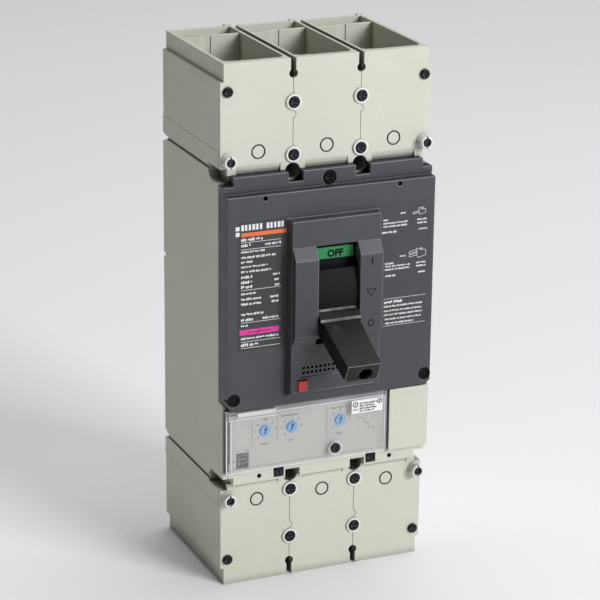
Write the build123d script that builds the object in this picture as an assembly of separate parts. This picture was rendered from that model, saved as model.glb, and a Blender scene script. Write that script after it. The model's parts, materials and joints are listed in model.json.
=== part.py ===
from build123d import *
import math
import os

# Three-pole molded case breaker with long terminal shields, in millimetres.
# X is right seen from the front, +Y is back into the panel, Z is up.
# The origin is the centre of the four fixing holes, on the rear mounting plane.

# ---------------------------------------------------------------- driving dimensions
HALF_WIDTH = 70.0            # housing, half of 140
BASE_FRONT = -95.5           # front rim of the base
BASE_END = 115.5             # full-width part of the base, each way
TERMINAL_END = 127.5         # end of the terminal pockets, inside the shields
POLE_PITCH = 45.0
POLES = (-POLE_PITCH, 0.0, POLE_PITCH)
SEAM_X = POLE_PITCH / 2      # seams between shields, and the fixing holes
FIXING_Z = 100.0             # fixing holes, half of 200
FIXING_RADIUS = 3.0
SIDE_WALL = 3.5
SIDE_WALL_FRONT = -102.8     # of the walls beside the trip unit

SHIELD_BACK = -1.0
SHIELD_FRONT = -98.8
SHIELD_END = 170.0           # half of the overall height of 340
SHIELD_WALL = 2.6
RIM_BACK = -93.4             # back of the thicker front wall at the open end
SHIELD_STEP_Z = 158.7        # the shields narrow outside this height
SHIELD_STEP = 2.2
SEAM_GAP = 0.3
INTERLOCK_Z = 135.2          # round lug of one shield in a notch of the next
INTERLOCK_RADIUS = 2.0
SLOT_WIDTH = 3.5             # phase barrier slot between two shields
KEYHOLE_Z = 160.6
KEYHOLE_RADIUS = 2.8
SHIELD_INNER_Z = 100.8       # inner edge of the shields' front walls
BEVEL_Z = 106.0              # the inner edge slopes back from here
POCKET_X = 63.0              # corner pockets between the base and the shields
POCKET_Z0, POCKET_Z1 = 95.4, 105.0
POCKET_BACK = -79.0
SHIELD_CORNER = 4.6          # cut off the outer shields' inner corner, over the pocket
FLAT_SEAM, FLAT_CORNER = 8.0, 10.3  # ends of the bevel that stay flat

COVER_REAR = -95.7
SHOULDER_FRONT = -104.0
COVER_FRONT = -110.0
NOSE_FRONT = -116.5
RAIL_FRONT = -121.2
COVER_BOTTOM = -48.0
FACE_TOP = 89.8
SHOULDER_TOP = 100.6
COVER_WALL = 3.0
NOSE_HALF_WIDTH = 29.6
NOSE_TOP = 72.4
NOSE_BOTTOM = -39.2
SLOT_HALF_WIDTH = 14.0
SLOT_HALF_HEIGHT = 31.8

PIVOT_Y = -79.0              # axis of the toggle
PIVOT_Z = 23.8
TOGGLE_TILT = 26.0           # the handle points this far below horizontal when OFF
DRUM_RADIUS = 40.0
HANDLE_REACH = 87.0

ROTOR_Y = -34.0              # axis of the contact shaft
ROTOR_Z = 15.0
ROTOR_RADIUS = 19.5
CRANK = 15.0                 # crank radius, the same on the yoke and on the contact shaft
CRANK_REST = 104.9           # crank direction when OFF, degrees from +Y towards +Z
ARM_OPEN = 132.0             # contact arm direction when OFF
ARM_CLOSED = 80.0            # and when ON
ROD_RADIUS = 3.0
PIN_RADIUS = 2.5
RUNNING_FIT = 0.05

TRIP_TOP = -48.8
TRIP_BOTTOM = -97.8
LIP_BOTTOM = -100.5          # front lip of the trip unit housing
TRIP_FRONT = -103.0
BLOCK_FRONT = -107.5
LID_FRONT = -108.0
LID_LEFT, LID_RIGHT = -69.8, 41.9
LID_BOTTOM, LID_TOP = -90.4, -49.3
LID_HINGE_X, LID_HINGE_Y = -68.3, -104.9
DIALS = ((-42.0, -65.8), (-23.7, -65.8), (9.6, -66.0))
DIAL_RADIUS = 3.4
LID_SCREW_X, LID_SCREW_Z = 4.7, -83.0
TRIP_SCREW_X, TRIP_SCREW_Z = 32.0, -95.6
TRIP_SCREW_POCKET = 3.5      # half of the square pocket round each of these

BUTTON_X, BUTTON_Z = -22.1, -34.2
BUTTON_WIDTH, BUTTON_HEIGHT = 6.0, 7.2
STEM_Z = -35.0
STEM_RADIUS = 1.85
TRIP_BAR_Y, TRIP_BAR_Z = -90.0, -29.0
TRIP_BAR_RADIUS = 3.0
TRIP_BAR_END = 68.3
LATCH_Y, LATCH_Z = -74.0, -24.0
CRADLE_Y, CRADLE_Z = -65.8, 60.0
CRADLE_FOOT_Z = -16.3
SHELF_FRONT, SHELF_BACK = -106.0, -104.0
PLUNGER_X, PLUNGER_Y = 26.0, -84.0
PLUNGER_TOP = -43.5

PAD_FRONT, PAD_BACK = -45.0, -41.0
PAD_END = 125.8
LUG_BORE_Y = -58.0
LUG_BORE_RADIUS = 10.5
LUG_IN, LUG_OUT = 126.0, 158.0
BOLT_Z = 114.0


# ---------------------------------------------------------------- shape helpers
def block(x0, x1, y0, y1, z0, z1):
    """Box between two corners."""
    centre = Pos((x0 + x1) / 2, (y0 + y1) / 2, (z0 + z1) / 2)
    return centre * Box(x1 - x0, y1 - y0, z1 - z0)


def rod_x(radius, x0, x1, y, z):
    return Pos((x0 + x1) / 2, y, z) * Rot(0, 90, 0) * Cylinder(radius, x1 - x0)


def rod_y(radius, y0, y1, x, z):
    return Pos(x, (y0 + y1) / 2, z) * Rot(90, 0, 0) * Cylinder(radius, y1 - y0)


def rod_z(radius, z0, z1, x, y):
    return Pos(x, y, (z0 + z1) / 2) * Cylinder(radius, z1 - z0)


def slab_x(points, x0, x1):
    """Outline of (y, z) points, extruded from x0 to x1."""
    outline = make_face(Polyline(*points, close=True))
    return extrude(Plane.YZ.offset(x0) * outline, amount=x1 - x0, dir=(1, 0, 0))


def slab_y(points, y0, y1):
    """Outline of (x, z) points, extruded from y0 to y1."""
    outline = make_face(Polyline(*points, close=True))
    return extrude(Plane.XZ.offset(-y0) * outline, amount=y1 - y0, dir=(0, 1, 0))


def slab_z(points, z0, z1):
    """Outline of (x, y) points, extruded from z0 to z1."""
    outline = make_face(Polyline(*points, close=True))
    return extrude(Plane.XY.offset(z0) * outline, amount=z1 - z0, dir=(0, 0, 1))


def polar(radius, degrees):
    """(y, z) offset at an angle measured from +Y towards +Z."""
    angle = math.radians(degrees)
    return radius * math.cos(angle), radius * math.sin(angle)


def both_ends(shape):
    """The shape and its mirror image in the plane Z = 0."""
    return [shape, mirror(shape, Plane.XY)]


def group(shapes):
    """One node made of separate solids."""
    solids = [solid for shape in shapes for solid in shape.solids()]
    return solids[0] if len(solids) == 1 else Compound(children=solids)


def cross_head(radius, front, back, shank_radius, tip, x, z):
    """Pan-head screw along Y with a cross recess; its head runs from front to back."""
    head = rod_y(radius, front, back, x, z)
    head = fillet(head.edges().sort_by(Axis.Y)[0], (back - front) * 0.4)
    recess_end = front + (back - front) * 0.6
    recess = block(x - 0.62 * radius, x + 0.62 * radius, front - 1, recess_end, z - 0.55, z + 0.55)
    recess += block(x - 0.55, x + 0.55, front - 1, recess_end, z - 0.62 * radius, z + 0.62 * radius)
    return head - recess + rod_y(shank_radius, back, tip, x, z)


def hex_socket(radius, across, front, back, depth, x, z):
    """Cylindrical head along Y with a hexagon socket."""
    socket = Plane.XZ.offset(-(front + depth)) * RegularPolygon(across / 2, 6, major_radius=False)
    cut = extrude(Pos(x, 0, z) * socket, amount=depth + 1, dir=(0, -1, 0))
    return rod_y(radius, front, back, x, z) - cut


def coil(radius, wire, start, end, x):
    """Close-wound spring between two (y, z) points: a tube with a scalloped outside."""
    length = math.dist(start, end)
    turns = int(length / (2 * wire))
    pitch = length / turns
    profile = [Line((radius - 2 * wire, 0), (radius - wire, 0))]
    for turn in range(turns):
        low, high = turn * pitch, (turn + 1) * pitch
        profile.append(ThreePointArc((radius - wire, low), (radius, (low + high) / 2), (radius - wire, high)))
    profile.append(Line((radius - wire, length), (radius - 2 * wire, length)))
    profile.append(Line((radius - 2 * wire, length), (radius - 2 * wire, 0)))
    tube = revolve(Plane.XZ * make_face(profile), axis=Axis.Z)
    tilt = math.degrees(math.atan2(end[1] - start[1], end[0] - start[0]))
    return Pos(x, start[0], start[1]) * Rot(tilt - 90, 0, 0) * tube


# ---------------------------------------------------------------- base
def pole_cavities(x_wall, y_front, y_back, z0, z1, barrier):
    """The three pole spaces between the side walls and two barriers."""
    inner = SEAM_X - barrier / 2
    outer = SEAM_X + barrier / 2
    spans = ((-x_wall, -outer), (-inner, inner), (outer, x_wall))
    return [block(x0, x1, y_front, y_back, z0, z1) for x0, x1 in spans]


def side_grooves(side):
    """Groove, rear notch and front pocket on one side of the base, at its upper end."""
    face = side * HALF_WIDTH
    inside = side * (HALF_WIDTH - 1.2)
    deep = side * (HALF_WIDTH - 6)
    pocket_in = side * POCKET_X
    notch = slab_x([(1, 98.2), (-6.2, 101.2), (-6.2, 103.0), (1, 104.8)], min(face, deep), max(face, deep))
    groove = block(min(face, inside), max(face, inside), POCKET_BACK, 1, 101.2, 103.4)
    outline = [(BASE_FRONT - 1, POCKET_Z0), (POCKET_BACK - 5, POCKET_Z0), (POCKET_BACK - 1.5, POCKET_Z0 + 1.4),
               (POCKET_BACK, POCKET_Z0 + 4.5), (POCKET_BACK, POCKET_Z1), (BASE_FRONT - 1, POCKET_Z1)]
    return notch + groove + slab_x(outline, min(face, pocket_in), max(face, pocket_in))


def base():
    shell = block(-HALF_WIDTH, HALF_WIDTH, BASE_FRONT, 0, -BASE_END, BASE_END)
    shell += block(-66.8, 66.8, -93, -4.4, -TERMINAL_END, TERMINAL_END)
    wall_in = HALF_WIDTH - SIDE_WALL
    # side walls beside the trip unit, up into the cover's cut corners
    for side in (-1, 1):
        outline = [(wall_in, -POCKET_Z0), (HALF_WIDTH, -POCKET_Z0), (HALF_WIDTH, -45.4), (66.9, -48.4),
                   (wall_in, -48.4)]
        shell += slab_y([(side * x, z) for x, z in outline], SIDE_WALL_FRONT, BASE_FRONT)
    shell -= block(-wall_in, wall_in, BASE_FRONT - 10, -60, -98, 98)
    for space in pole_cavities(wall_in, -61, -4, -98, 98, 3):
        shell -= space
    for end in (-1, 1):
        low, high = sorted((end * 101, end * (TERMINAL_END + 1)))
        for pocket in pole_cavities(63.8, BASE_FRONT - 1, -8.4, low, high, 4):
            shell -= pocket
    # solid corners behind the rear notches and round the front pockets
    for side in (-1, 1):
        for end in (-1, 1):
            x0, x1 = sorted((side * 60, side * 67))
            z0, z1 = sorted((end * 94, end * 107))
            shell += block(x0, x1, -12, -3, z0, z1)
            x0, x1 = sorted((side * (POCKET_X - 2), side * 67))
            z0, z1 = sorted((end * (POCKET_Z0 - 2), end * (POCKET_Z1 + 2)))
            shell += block(x0, x1, BASE_FRONT, POCKET_BACK + 3, z0, z1)
    # columns for the fixing holes, the shield screws, the cover screws and the trip unit screws
    for x in (-SEAM_X, SEAM_X):
        for end in (-1, 1):
            shell += rod_y(7.2, BASE_FRONT, 0, x, end * FIXING_Z)
            shell += rod_y(4.2, BASE_FRONT, -62, x, end * 110.3)
    shell += rod_y(4.6, BASE_FRONT, -60, 0, 94.8)
    for side in (-1, 1):
        shell += rod_y(4.4, BASE_FRONT, -60, side * 65.0, -40.6)
        shell += rod_y(4.0, -99.5, -60, side * TRIP_SCREW_X, TRIP_SCREW_Z)
        for end in (-1, 1):
            shell += rod_y(4.2, BASE_FRONT, -70, side * 65.5, end * 110.3)
    # supports behind the terminal pads
    for x in POLES:
        for end in (-1, 1):
            low, high = sorted((end * 101, end * 122))
            shell += block(x - 11, x + 11, PAD_BACK + 0.2, -4.4, low, high)
    # the outer face stays flush after the columns are added
    for side in (-1, 1):
        edge, far = side * HALF_WIDTH, side * (HALF_WIDTH + 10)
        shell -= block(min(edge, far), max(edge, far), -110, 5, -130, 130)
    # holes
    for x in (-SEAM_X, SEAM_X):
        for end in (-1, 1):
            shell -= rod_y(FIXING_RADIUS, -100, 1, x, end * FIXING_Z)
            shell -= rod_y(5.6, BASE_FRONT - 1, -62, x, end * FIXING_Z)
            shell -= rod_y(1.7, BASE_FRONT - 1, -78, x, end * 110.3)
    shell -= rod_y(2.0, BASE_FRONT - 1, -70, 0, 94.8)
    for side in (-1, 1):
        shell -= rod_y(1.7, -100, -84, side * TRIP_SCREW_X, TRIP_SCREW_Z)
        for end in (-1, 1):
            shell -= rod_y(1.9, BASE_FRONT - 1, -80, side * 65.5, end * 110.3)
    for x in POLES:
        for end in (-1, 1):
            shell -= rod_y(5.6, PAD_BACK - 1, -26, x, end * BOLT_Z)
            low, high = sorted((end * 97, end * 102))
            shell -= block(x - 8.4, x + 8.4, PAD_FRONT - 0.4, PAD_BACK + 0.4, low, high)
    # blind bearings of the trip bar in the side walls
    for side in (-1, 1):
        x0, x1 = sorted((side * 66, side * (TRIP_BAR_END + 0.1)))
        shell -= rod_x(TRIP_BAR_RADIUS + RUNNING_FIT, x0, x1, TRIP_BAR_Y, TRIP_BAR_Z)
    # round openings in the pole barriers, for the drive rods
    for x in (-SEAM_X, SEAM_X):
        shell -= rod_x(19.0, x - 2, x + 2, ROTOR_Y, ROTOR_Z)
    for side in (-1, 1):
        cut = side_grooves(side)
        shell -= cut
        shell -= mirror(cut, Plane.XY)
    # small notch in each rear edge at mid height
    for side in (-1, 1):
        x0, x1 = sorted((side * (HALF_WIDTH - 1.5), side * (HALF_WIDTH + 1)))
        shell -= block(x0, x1, -3, 1, 21.5, 24.5)
    return shell


# ---------------------------------------------------------------- terminal shields
def shield_outline(left, right, left_is_seam, right_is_seam):
    """Front outline of one upper shield: (x, z) points from its inner edge to its open end."""
    step_left = left + (SLOT_WIDTH - SEAM_GAP) / 2 if left_is_seam else left + SHIELD_STEP
    step_right = right - (SLOT_WIDTH - SEAM_GAP) / 2 if right_is_seam else right - SHIELD_STEP
    left_z = KEYHOLE_Z if left_is_seam else SHIELD_STEP_Z
    right_z = KEYHOLE_Z if right_is_seam else SHIELD_STEP_Z
    points = [(left, left_z), (step_left, left_z), (step_left, SHIELD_END)]
    points += [(step_right, SHIELD_END), (step_right, right_z), (right, right_z)]
    if right_is_seam:
        points += [(right, SHIELD_INNER_Z)]
    else:
        points += [(right, POCKET_Z1), (right - SHIELD_CORNER, POCKET_Z1),
                   (right - SHIELD_CORNER, SHIELD_INNER_Z)]
    if left_is_seam:
        points += [(left, SHIELD_INNER_Z)]
    else:
        points += [(left + SHIELD_CORNER, SHIELD_INNER_Z), (left + SHIELD_CORNER, POCKET_Z1), (left, POCKET_Z1)]
    return points


def cell_partition(centre):
    """Rear partition of a cell, with its jog and the groove at mid width."""
    points = [(centre - 21, -23.5), (centre - 7, -23.5), (centre - 3.5, -21.5), (centre + 21, -21.5)]
    points += [(centre + 21, -19.7), (centre - 4.3, -19.7), (centre - 7.8, -21.7), (centre - 21, -21.7)]
    return slab_z(points, 128.4, SHIELD_END - 0.6) - block(centre - 0.6, centre + 0.6, -24, -20.9, 128, 171)


def upper_shield(left_is_seam, right_is_seam):
    """One shield of the upper end; its mirror image is the one below."""
    left = (-SEAM_X if right_is_seam else SEAM_X) + SEAM_GAP / 2 if left_is_seam else -HALF_WIDTH
    right = (SEAM_X if left_is_seam else -SEAM_X) - SEAM_GAP / 2 if right_is_seam else HALF_WIDTH
    centre = (left + right) / 2
    inner_front = SHIELD_FRONT + SHIELD_WALL
    inner_back = SHIELD_BACK - 2.5
    front = slab_y(shield_outline(left, right, left_is_seam, right_is_seam), SHIELD_FRONT, inner_front)
    bevel = slab_x([(SHIELD_FRONT, BEVEL_Z), (SHIELD_FRONT + 0.7, BEVEL_Z - 2.9),
                    (SHIELD_FRONT + 2.0, SHIELD_INNER_Z - 1), (SHIELD_FRONT - 1, SHIELD_INNER_Z - 1),
                    (SHIELD_FRONT - 1, BEVEL_Z)], left, right)
    for x, is_seam in ((left, left_is_seam), (right, right_is_seam)):
        flat = FLAT_SEAM if is_seam else FLAT_CORNER
        bevel -= block(x - flat, x + flat, SHIELD_FRONT - 2, inner_front, SHIELD_INNER_Z - 2, BEVEL_Z + 1)
    front -= bevel
    body = block(left, right, SHIELD_FRONT, SHIELD_BACK, BASE_END + 0.2, SHIELD_END)
    body &= slab_y(shield_outline(left, right, left_is_seam, right_is_seam), SHIELD_FRONT, SHIELD_BACK)
    # inner space: wide around the base's terminal pockets, then the cell itself
    cell_left = left + 3.4 if left_is_seam else left + 4.7
    cell_right = right - 3.4 if right_is_seam else right - 4.7
    near_left = left - 1 if left_is_seam else left + 2.8
    near_right = right + 1 if right_is_seam else right - 2.8
    body -= block(near_left, near_right, inner_front, inner_back, BASE_END - 1, 128.2)
    body -= block(cell_left, cell_right, inner_front, inner_back, 128, SHIELD_END + 1)
    # outside of the divider walls: the slot runs through the whole depth behind the front flange
    for x, is_seam, side in ((left, left_is_seam, 1), (right, right_is_seam, -1)):
        if is_seam:
            x0, x1 = sorted((x - side, x + side * (SLOT_WIDTH - SEAM_GAP) / 2))
            body -= block(x0, x1, inner_front, inner_back, 128, SHIELD_END + 1)
    shield = body + front
    partition = cell_partition(centre)
    shield += partition & block(cell_left - 0.5, cell_right + 0.5, -30, -10, 128, SHIELD_END)
    # thicker front wall and corners at the open end, and a small lug on the rear wall
    rim = block(cell_left - 0.5, cell_right + 0.5, inner_front - 0.5, RIM_BACK, 160, SHIELD_END)
    for x0, x1 in ((cell_left - 0.5, cell_left + 1.6), (cell_right - 1.6, cell_right + 0.5)):
        rim += block(x0, x1, inner_front - 0.5, RIM_BACK + 2.5, 160, SHIELD_END)
    shield += rim
    lug_right = right - 2.0 if right_is_seam else right - SHIELD_STEP
    shield += block(lug_right - 4.5, lug_right, SHIELD_BACK - 2, SHIELD_BACK + 0.9, 164, SHIELD_END + 0.8)
    # half bosses for the outer seam screws, halves of the screw holes and of the keyhole
    for x, is_seam in ((left, left_is_seam), (right, right_is_seam)):
        if is_seam:
            seam = math.copysign(SEAM_X, x)
            side = block(left, right, SHIELD_FRONT, 0, 90, SHIELD_END)
            shield += rod_y(4.2, inner_front, -84, seam, 143.1) & side
            for z in (110.3, 143.1):
                shield -= rod_y(1.75, SHIELD_FRONT - 1, -83, seam, z)
            shield -= rod_y(KEYHOLE_RADIUS, SHIELD_FRONT - 1, inner_front + 0.5, seam, KEYHOLE_Z)
            shield -= rod_y(5.0, SHIELD_FRONT - 1, inner_front + 1, seam, FIXING_Z)
        else:
            side_x = math.copysign(65.3, x)
            shield += rod_y(3.4, inner_front, -84, side_x, 152.7)
            shield -= rod_y(1.5, SHIELD_FRONT - 1, -85, side_x, 152.7)
            hole_x = math.copysign(65.5, x)
            shield -= rod_y(2.1, SHIELD_FRONT - 1, inner_front + 1, hole_x, 110.3)
    # interlock of the seam: a round lug of the left shield in a notch of the right one
    if right_is_seam:
        seam = right + SEAM_GAP / 2
        shield += rod_y(INTERLOCK_RADIUS, SHIELD_FRONT, inner_front, seam - 0.3, INTERLOCK_Z)
    if left_is_seam:
        seam = left - SEAM_GAP / 2
        notch_radius = INTERLOCK_RADIUS + SEAM_GAP
        shield -= rod_y(notch_radius, SHIELD_FRONT - 1, inner_front + 0.1, seam - 0.3, INTERLOCK_Z)
    # ring groove of the knock-out disc
    disc_x = 0.0 if left_is_seam and right_is_seam else math.copysign(45.2, centre)
    ring = rod_y(4.7, SHIELD_FRONT - 1, SHIELD_FRONT + 1.6, disc_x, BOLT_Z)
    shield -= ring - rod_y(3.7, SHIELD_FRONT - 2, SHIELD_FRONT + 2, disc_x, BOLT_Z)
    return shield


def seam_points():
    return [(x, z) for x in (-SEAM_X, SEAM_X) for z in (-143.1, -110.3, 110.3, 143.1)]


def seam_screw_collars():
    rings = []
    for x, z in seam_points():
        ring = rod_y(5.0, SHIELD_FRONT - 1.5, SHIELD_FRONT, x, z)
        ring = chamfer(ring.edges().sort_by(Axis.Y)[0], 0.4)
        rings.append(ring - rod_y(3.75, SHIELD_FRONT - 3, SHIELD_FRONT - 0.4, x, z)
                     - rod_y(1.75, SHIELD_FRONT - 3, SHIELD_FRONT + 1, x, z))
    return group(rings)


def seam_screws():
    return group([cross_head(3.65, SHIELD_FRONT - 2.1, SHIELD_FRONT - 0.4, 1.65, -85, x, z)
                  for x, z in seam_points()])


def corner_screws():
    return group([cross_head(3.2, SHIELD_FRONT - 1.9, SHIELD_FRONT, 1.45, -86, x, z)
                  for x in (-65.3, 65.3) for z in (-152.7, 152.7)])


def sealing_screws():
    """Light hollow screws with a notched rim and holes across the neck for a seal wire."""
    screws = []
    for x in (-65.5, 65.5):
        for z in (-110.3, 110.3):
            tip = SHIELD_FRONT - 6.5
            post = rod_y(4.0, tip, SHIELD_FRONT, x, z)
            post = chamfer(post.edges().sort_by(Axis.Y)[0], 0.4)
            post += rod_y(4.5, SHIELD_FRONT - 1.2, SHIELD_FRONT, x, z)
            post -= rod_y(2.85, tip - 1, SHIELD_FRONT - 1.0, x, z)
            post -= block(x - 0.5, x + 0.5, tip - 1, tip + 1.6, z - 5, z + 5)
            post -= rod_x(0.9, x - 6, x + 6, SHIELD_FRONT - 2.6, z)
            post -= rod_z(0.9, z - 6, z + 6, x, SHIELD_FRONT - 2.6)
            screws.append(post + rod_y(1.85, SHIELD_FRONT - 1.0, -82, x, z))
    return group(screws)


# ---------------------------------------------------------------- front cover
def nose():
    """Raised nose with its two rails, before the slot and the hollow inside."""
    lower = slab_y([(-32.0, NOSE_BOTTOM - 2.4), (32.0, NOSE_BOTTOM - 2.4), (30.9, 72.9), (-30.9, 72.9)],
                   COVER_FRONT, COVER_FRONT + 0.02)
    upper = slab_y([(-30.0, NOSE_BOTTOM), (30.0, NOSE_BOTTOM),
                    (NOSE_HALF_WIDTH, NOSE_TOP), (-NOSE_HALF_WIDTH, NOSE_TOP)], NOSE_FRONT - 0.02, NOSE_FRONT)
    body = loft([lower.faces().sort_by(Axis.Y)[0], upper.faces().sort_by(Axis.Y)[0]])
    rail = [(NOSE_FRONT, PIVOT_Z + SLOT_HALF_HEIGHT), (RAIL_FRONT, PIVOT_Z + 24.4)]
    rail += [(RAIL_FRONT, PIVOT_Z - 24.4), (NOSE_FRONT, PIVOT_Z - SLOT_HALF_HEIGHT)]
    return body + slab_x(rail, -29.4, 29.4)


def front_cover():
    face_corner = HALF_WIDTH - 0.6
    rear = slab_y([(-HALF_WIDTH, -45), (-67, COVER_BOTTOM), (67, COVER_BOTTOM), (HALF_WIDTH, -45),
                   (HALF_WIDTH, FACE_TOP), (-HALF_WIDTH, FACE_TOP)], COVER_REAR, COVER_REAR + 0.02)
    face = slab_y([(-face_corner, -44.8), (-66.6, COVER_BOTTOM + 0.4), (66.6, COVER_BOTTOM + 0.4),
                   (face_corner, -44.8), (face_corner, FACE_TOP), (-face_corner, FACE_TOP)],
                  COVER_FRONT, COVER_FRONT + 0.02)
    shell = loft([rear.faces().sort_by(Axis.Y)[0], face.faces().sort_by(Axis.Y)[0]])
    shell += slab_y([(-HALF_WIDTH, FACE_TOP - 1), (HALF_WIDTH, FACE_TOP - 1), (HALF_WIDTH, 95.0), (63.4, 95.0),
                     (63.4, SHOULDER_TOP), (-63.4, SHOULDER_TOP), (-63.4, 95.0), (-HALF_WIDTH, 95.0)],
                    SHOULDER_FRONT, COVER_REAR)
    inside = block(-67, 67, COVER_FRONT + COVER_WALL, COVER_REAR + 1, COVER_BOTTOM + COVER_WALL, 87)
    inside += block(-60.5, 60.5, SHOULDER_FRONT + COVER_WALL, COVER_REAR + 1, 86, SHOULDER_TOP - 2.4)
    inside += block(-26.8, 26.8, NOSE_FRONT + COVER_WALL, COVER_FRONT + COVER_WALL + 1, -38.0, NOSE_TOP - 3)
    inside &= block(-80, 80, -130, COVER_REAR + 1, -60, 110)
    shell = shell + nose() - inside
    # screw post at the top, posts under the two plugs
    post = rod_y(6.0, SHOULDER_FRONT + 1, COVER_REAR, 0, 94.8)
    shell += post & block(-7, 7, SHOULDER_FRONT, COVER_REAR, 88, SHOULDER_TOP)
    for side in (-1, 1):
        post = rod_y(5.4, COVER_FRONT + 1, COVER_REAR, side * 65.0, -40.6)
        x0, x1 = sorted((side * 55, side * 69.6))
        post &= block(x0, x1, COVER_FRONT, -90, COVER_BOTTOM + 1, -30)
        shell += post
    # handle slot and the round pocket that the shutter turns in
    shell -= block(-SLOT_HALF_WIDTH, SLOT_HALF_WIDTH, RAIL_FRONT - 1, COVER_FRONT + 4,
                   PIVOT_Z - SLOT_HALF_HEIGHT, PIVOT_Z + SLOT_HALF_HEIGHT)
    shell -= rod_x(DRUM_RADIUS + 0.9, -16.4, 16.4, PIVOT_Y, PIVOT_Z)
    # notches over the two upper fixing screws
    for x in (-SEAM_X, SEAM_X):
        shell -= block(x - 5, x + 5, SHOULDER_FRONT - 1, COVER_REAR + 1, 94.3, SHOULDER_TOP + 1)
    shell -= rod_y(4.6, SHOULDER_FRONT - 1, SHOULDER_FRONT + 1.6, 0, 94.8)
    shell -= rod_y(2.2, SHOULDER_FRONT - 1, COVER_REAR + 1, 0, 94.8)
    for side in (-1, 1):
        shell -= rod_y(4.25, COVER_FRONT - 1, COVER_FRONT + 5, side * 65.4, -40.6)
        shell -= rod_y(1.5, COVER_FRONT - 1, COVER_FRONT + 4, side * 45.0, 87.5)
    # groove round the foot of the raised face and two thin lines on the nose
    shell -= block(-71, 71, SHOULDER_FRONT - 0.01, SHOULDER_FRONT + 0.8, FACE_TOP + 0.1, FACE_TOP + 1.1)
    for z in (-28.5, -38.3):
        shell -= block(-27.5, 27.5, NOSE_FRONT - 1, NOSE_FRONT + 0.5, z - 0.25, z + 0.25)
    # vents: two rows of square holes
    for column in range(16):
        x = -21.5 + column * 43.0 / 15
        for z in (-22.6, -25.7):
            shell -= block(x - 0.95, x + 0.95, NOSE_FRONT - 1, NOSE_FRONT + 4, z - 0.85, z + 0.85)
    # window of the trip button
    shell -= block(BUTTON_X - BUTTON_WIDTH / 2 - 0.2, BUTTON_X + BUTTON_WIDTH / 2 + 0.2, NOSE_FRONT - 1,
                   NOSE_FRONT + 4, BUTTON_Z - BUTTON_HEIGHT / 2 - 0.2, BUTTON_Z + BUTTON_HEIGHT / 2 + 0.2)
    # shelf that carries the button's spring and guides its stem
    shelf = block(BUTTON_X - 6, BUTTON_X + 6, SHELF_FRONT, SHELF_BACK, -46, -28)
    shell += shelf - rod_y(STEM_RADIUS + RUNNING_FIT, SHELF_FRONT - 1, SHELF_BACK + 1, BUTTON_X, STEM_Z)
    return shell


def cover_screw():
    return cross_head(4.4, SHOULDER_FRONT - 0.6, SHOULDER_FRONT + 1.6, 1.9, -75, 0, 94.8)


def cover_plugs():
    return group([rod_y(4.15, COVER_FRONT - 0.25, COVER_FRONT + 3.0, side * 65.4, -40.6)
                  - rod_y(2.9, COVER_FRONT - 1, COVER_FRONT + 0.5, side * 65.4, -40.6) for side in (-1, 1)])


# ---------------------------------------------------------------- trip unit
def trip_unit_housing():
    body = block(-66.2, 66.2, TRIP_FRONT, -64, TRIP_BOTTOM, TRIP_TOP)
    body += block(-POCKET_X, POCKET_X, TRIP_FRONT, COVER_REAR, LIP_BOTTOM, TRIP_BOTTOM)
    body -= block(-64.2, 64.2, TRIP_FRONT + 2, -66, -90.5, TRIP_TOP - 2)
    body += block(42.6, 69.8, BLOCK_FRONT, TRIP_FRONT, -91.0, -49.3)
    for x in (-SEAM_X, SEAM_X):
        body -= rod_y(7.6, COVER_REAR, -60, x, -FIXING_Z)
        body -= block(x - 5, x + 5, TRIP_FRONT - 1, COVER_REAR + 1, LIP_BOTTOM - 1, -94.9)
    for side in (-1, 1):
        # corners cut out round the base's pockets, and the walls of those behind the cover
        x0, x1 = sorted((side * (POCKET_X - 2.1), side * HALF_WIDTH))
        body -= block(x0, x1, COVER_REAR, -60, LIP_BOTTOM - 1, -POCKET_Z0 + 2.1)
        x0, x1 = sorted((side * POCKET_X, side * HALF_WIDTH))
        body -= block(x0, x1, TRIP_FRONT - 1, COVER_REAR + 1, LIP_BOTTOM - 1, -POCKET_Z0)
        x = side * TRIP_SCREW_X
        body -= rod_y(4.3, -99.8, -60, x, TRIP_SCREW_Z)
        body -= rod_y(1.7, TRIP_FRONT - 1, -99, x, TRIP_SCREW_Z)
        body -= block(x - TRIP_SCREW_POCKET, x + TRIP_SCREW_POCKET, TRIP_FRONT - 1, TRIP_FRONT + 1.2,
                      TRIP_SCREW_Z - TRIP_SCREW_POCKET, TRIP_SCREW_Z + TRIP_SCREW_POCKET)
        body -= rod_y(1.5, TRIP_FRONT - 1, TRIP_FRONT + 6, side * 45.3, -96.5)
    for x, z in DIALS:
        body -= rod_y(1.5 + RUNNING_FIT, TRIP_FRONT - 1, TRIP_FRONT + 3, x, z)
    body -= rod_y(2.0, TRIP_FRONT - 1, TRIP_FRONT + 3, LID_SCREW_X, LID_SCREW_Z)
    body -= block(-61.2, -52.8, TRIP_FRONT - 1, TRIP_FRONT + 3, -89.2, -78.8)
    # hole for the plunger that reaches the trip bar, in the top wall
    body -= rod_z(2.6, TRIP_TOP - 3, TRIP_TOP + 1, PLUNGER_X, PLUNGER_Y)
    # moulded hinge pin of the lid, held by an ear at each end
    for z0, z1 in ((LID_BOTTOM - 0.9, LID_BOTTOM - 0.2), (LID_TOP + 0.1, TRIP_TOP)):
        body += block(LID_HINGE_X - 1.2, -66.0, LID_HINGE_Y - 1.2, TRIP_FRONT + 0.1, z0, z1)
    body += rod_z(0.9, LID_BOTTOM - 0.9, TRIP_TOP, LID_HINGE_X, LID_HINGE_Y)
    return body


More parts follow.
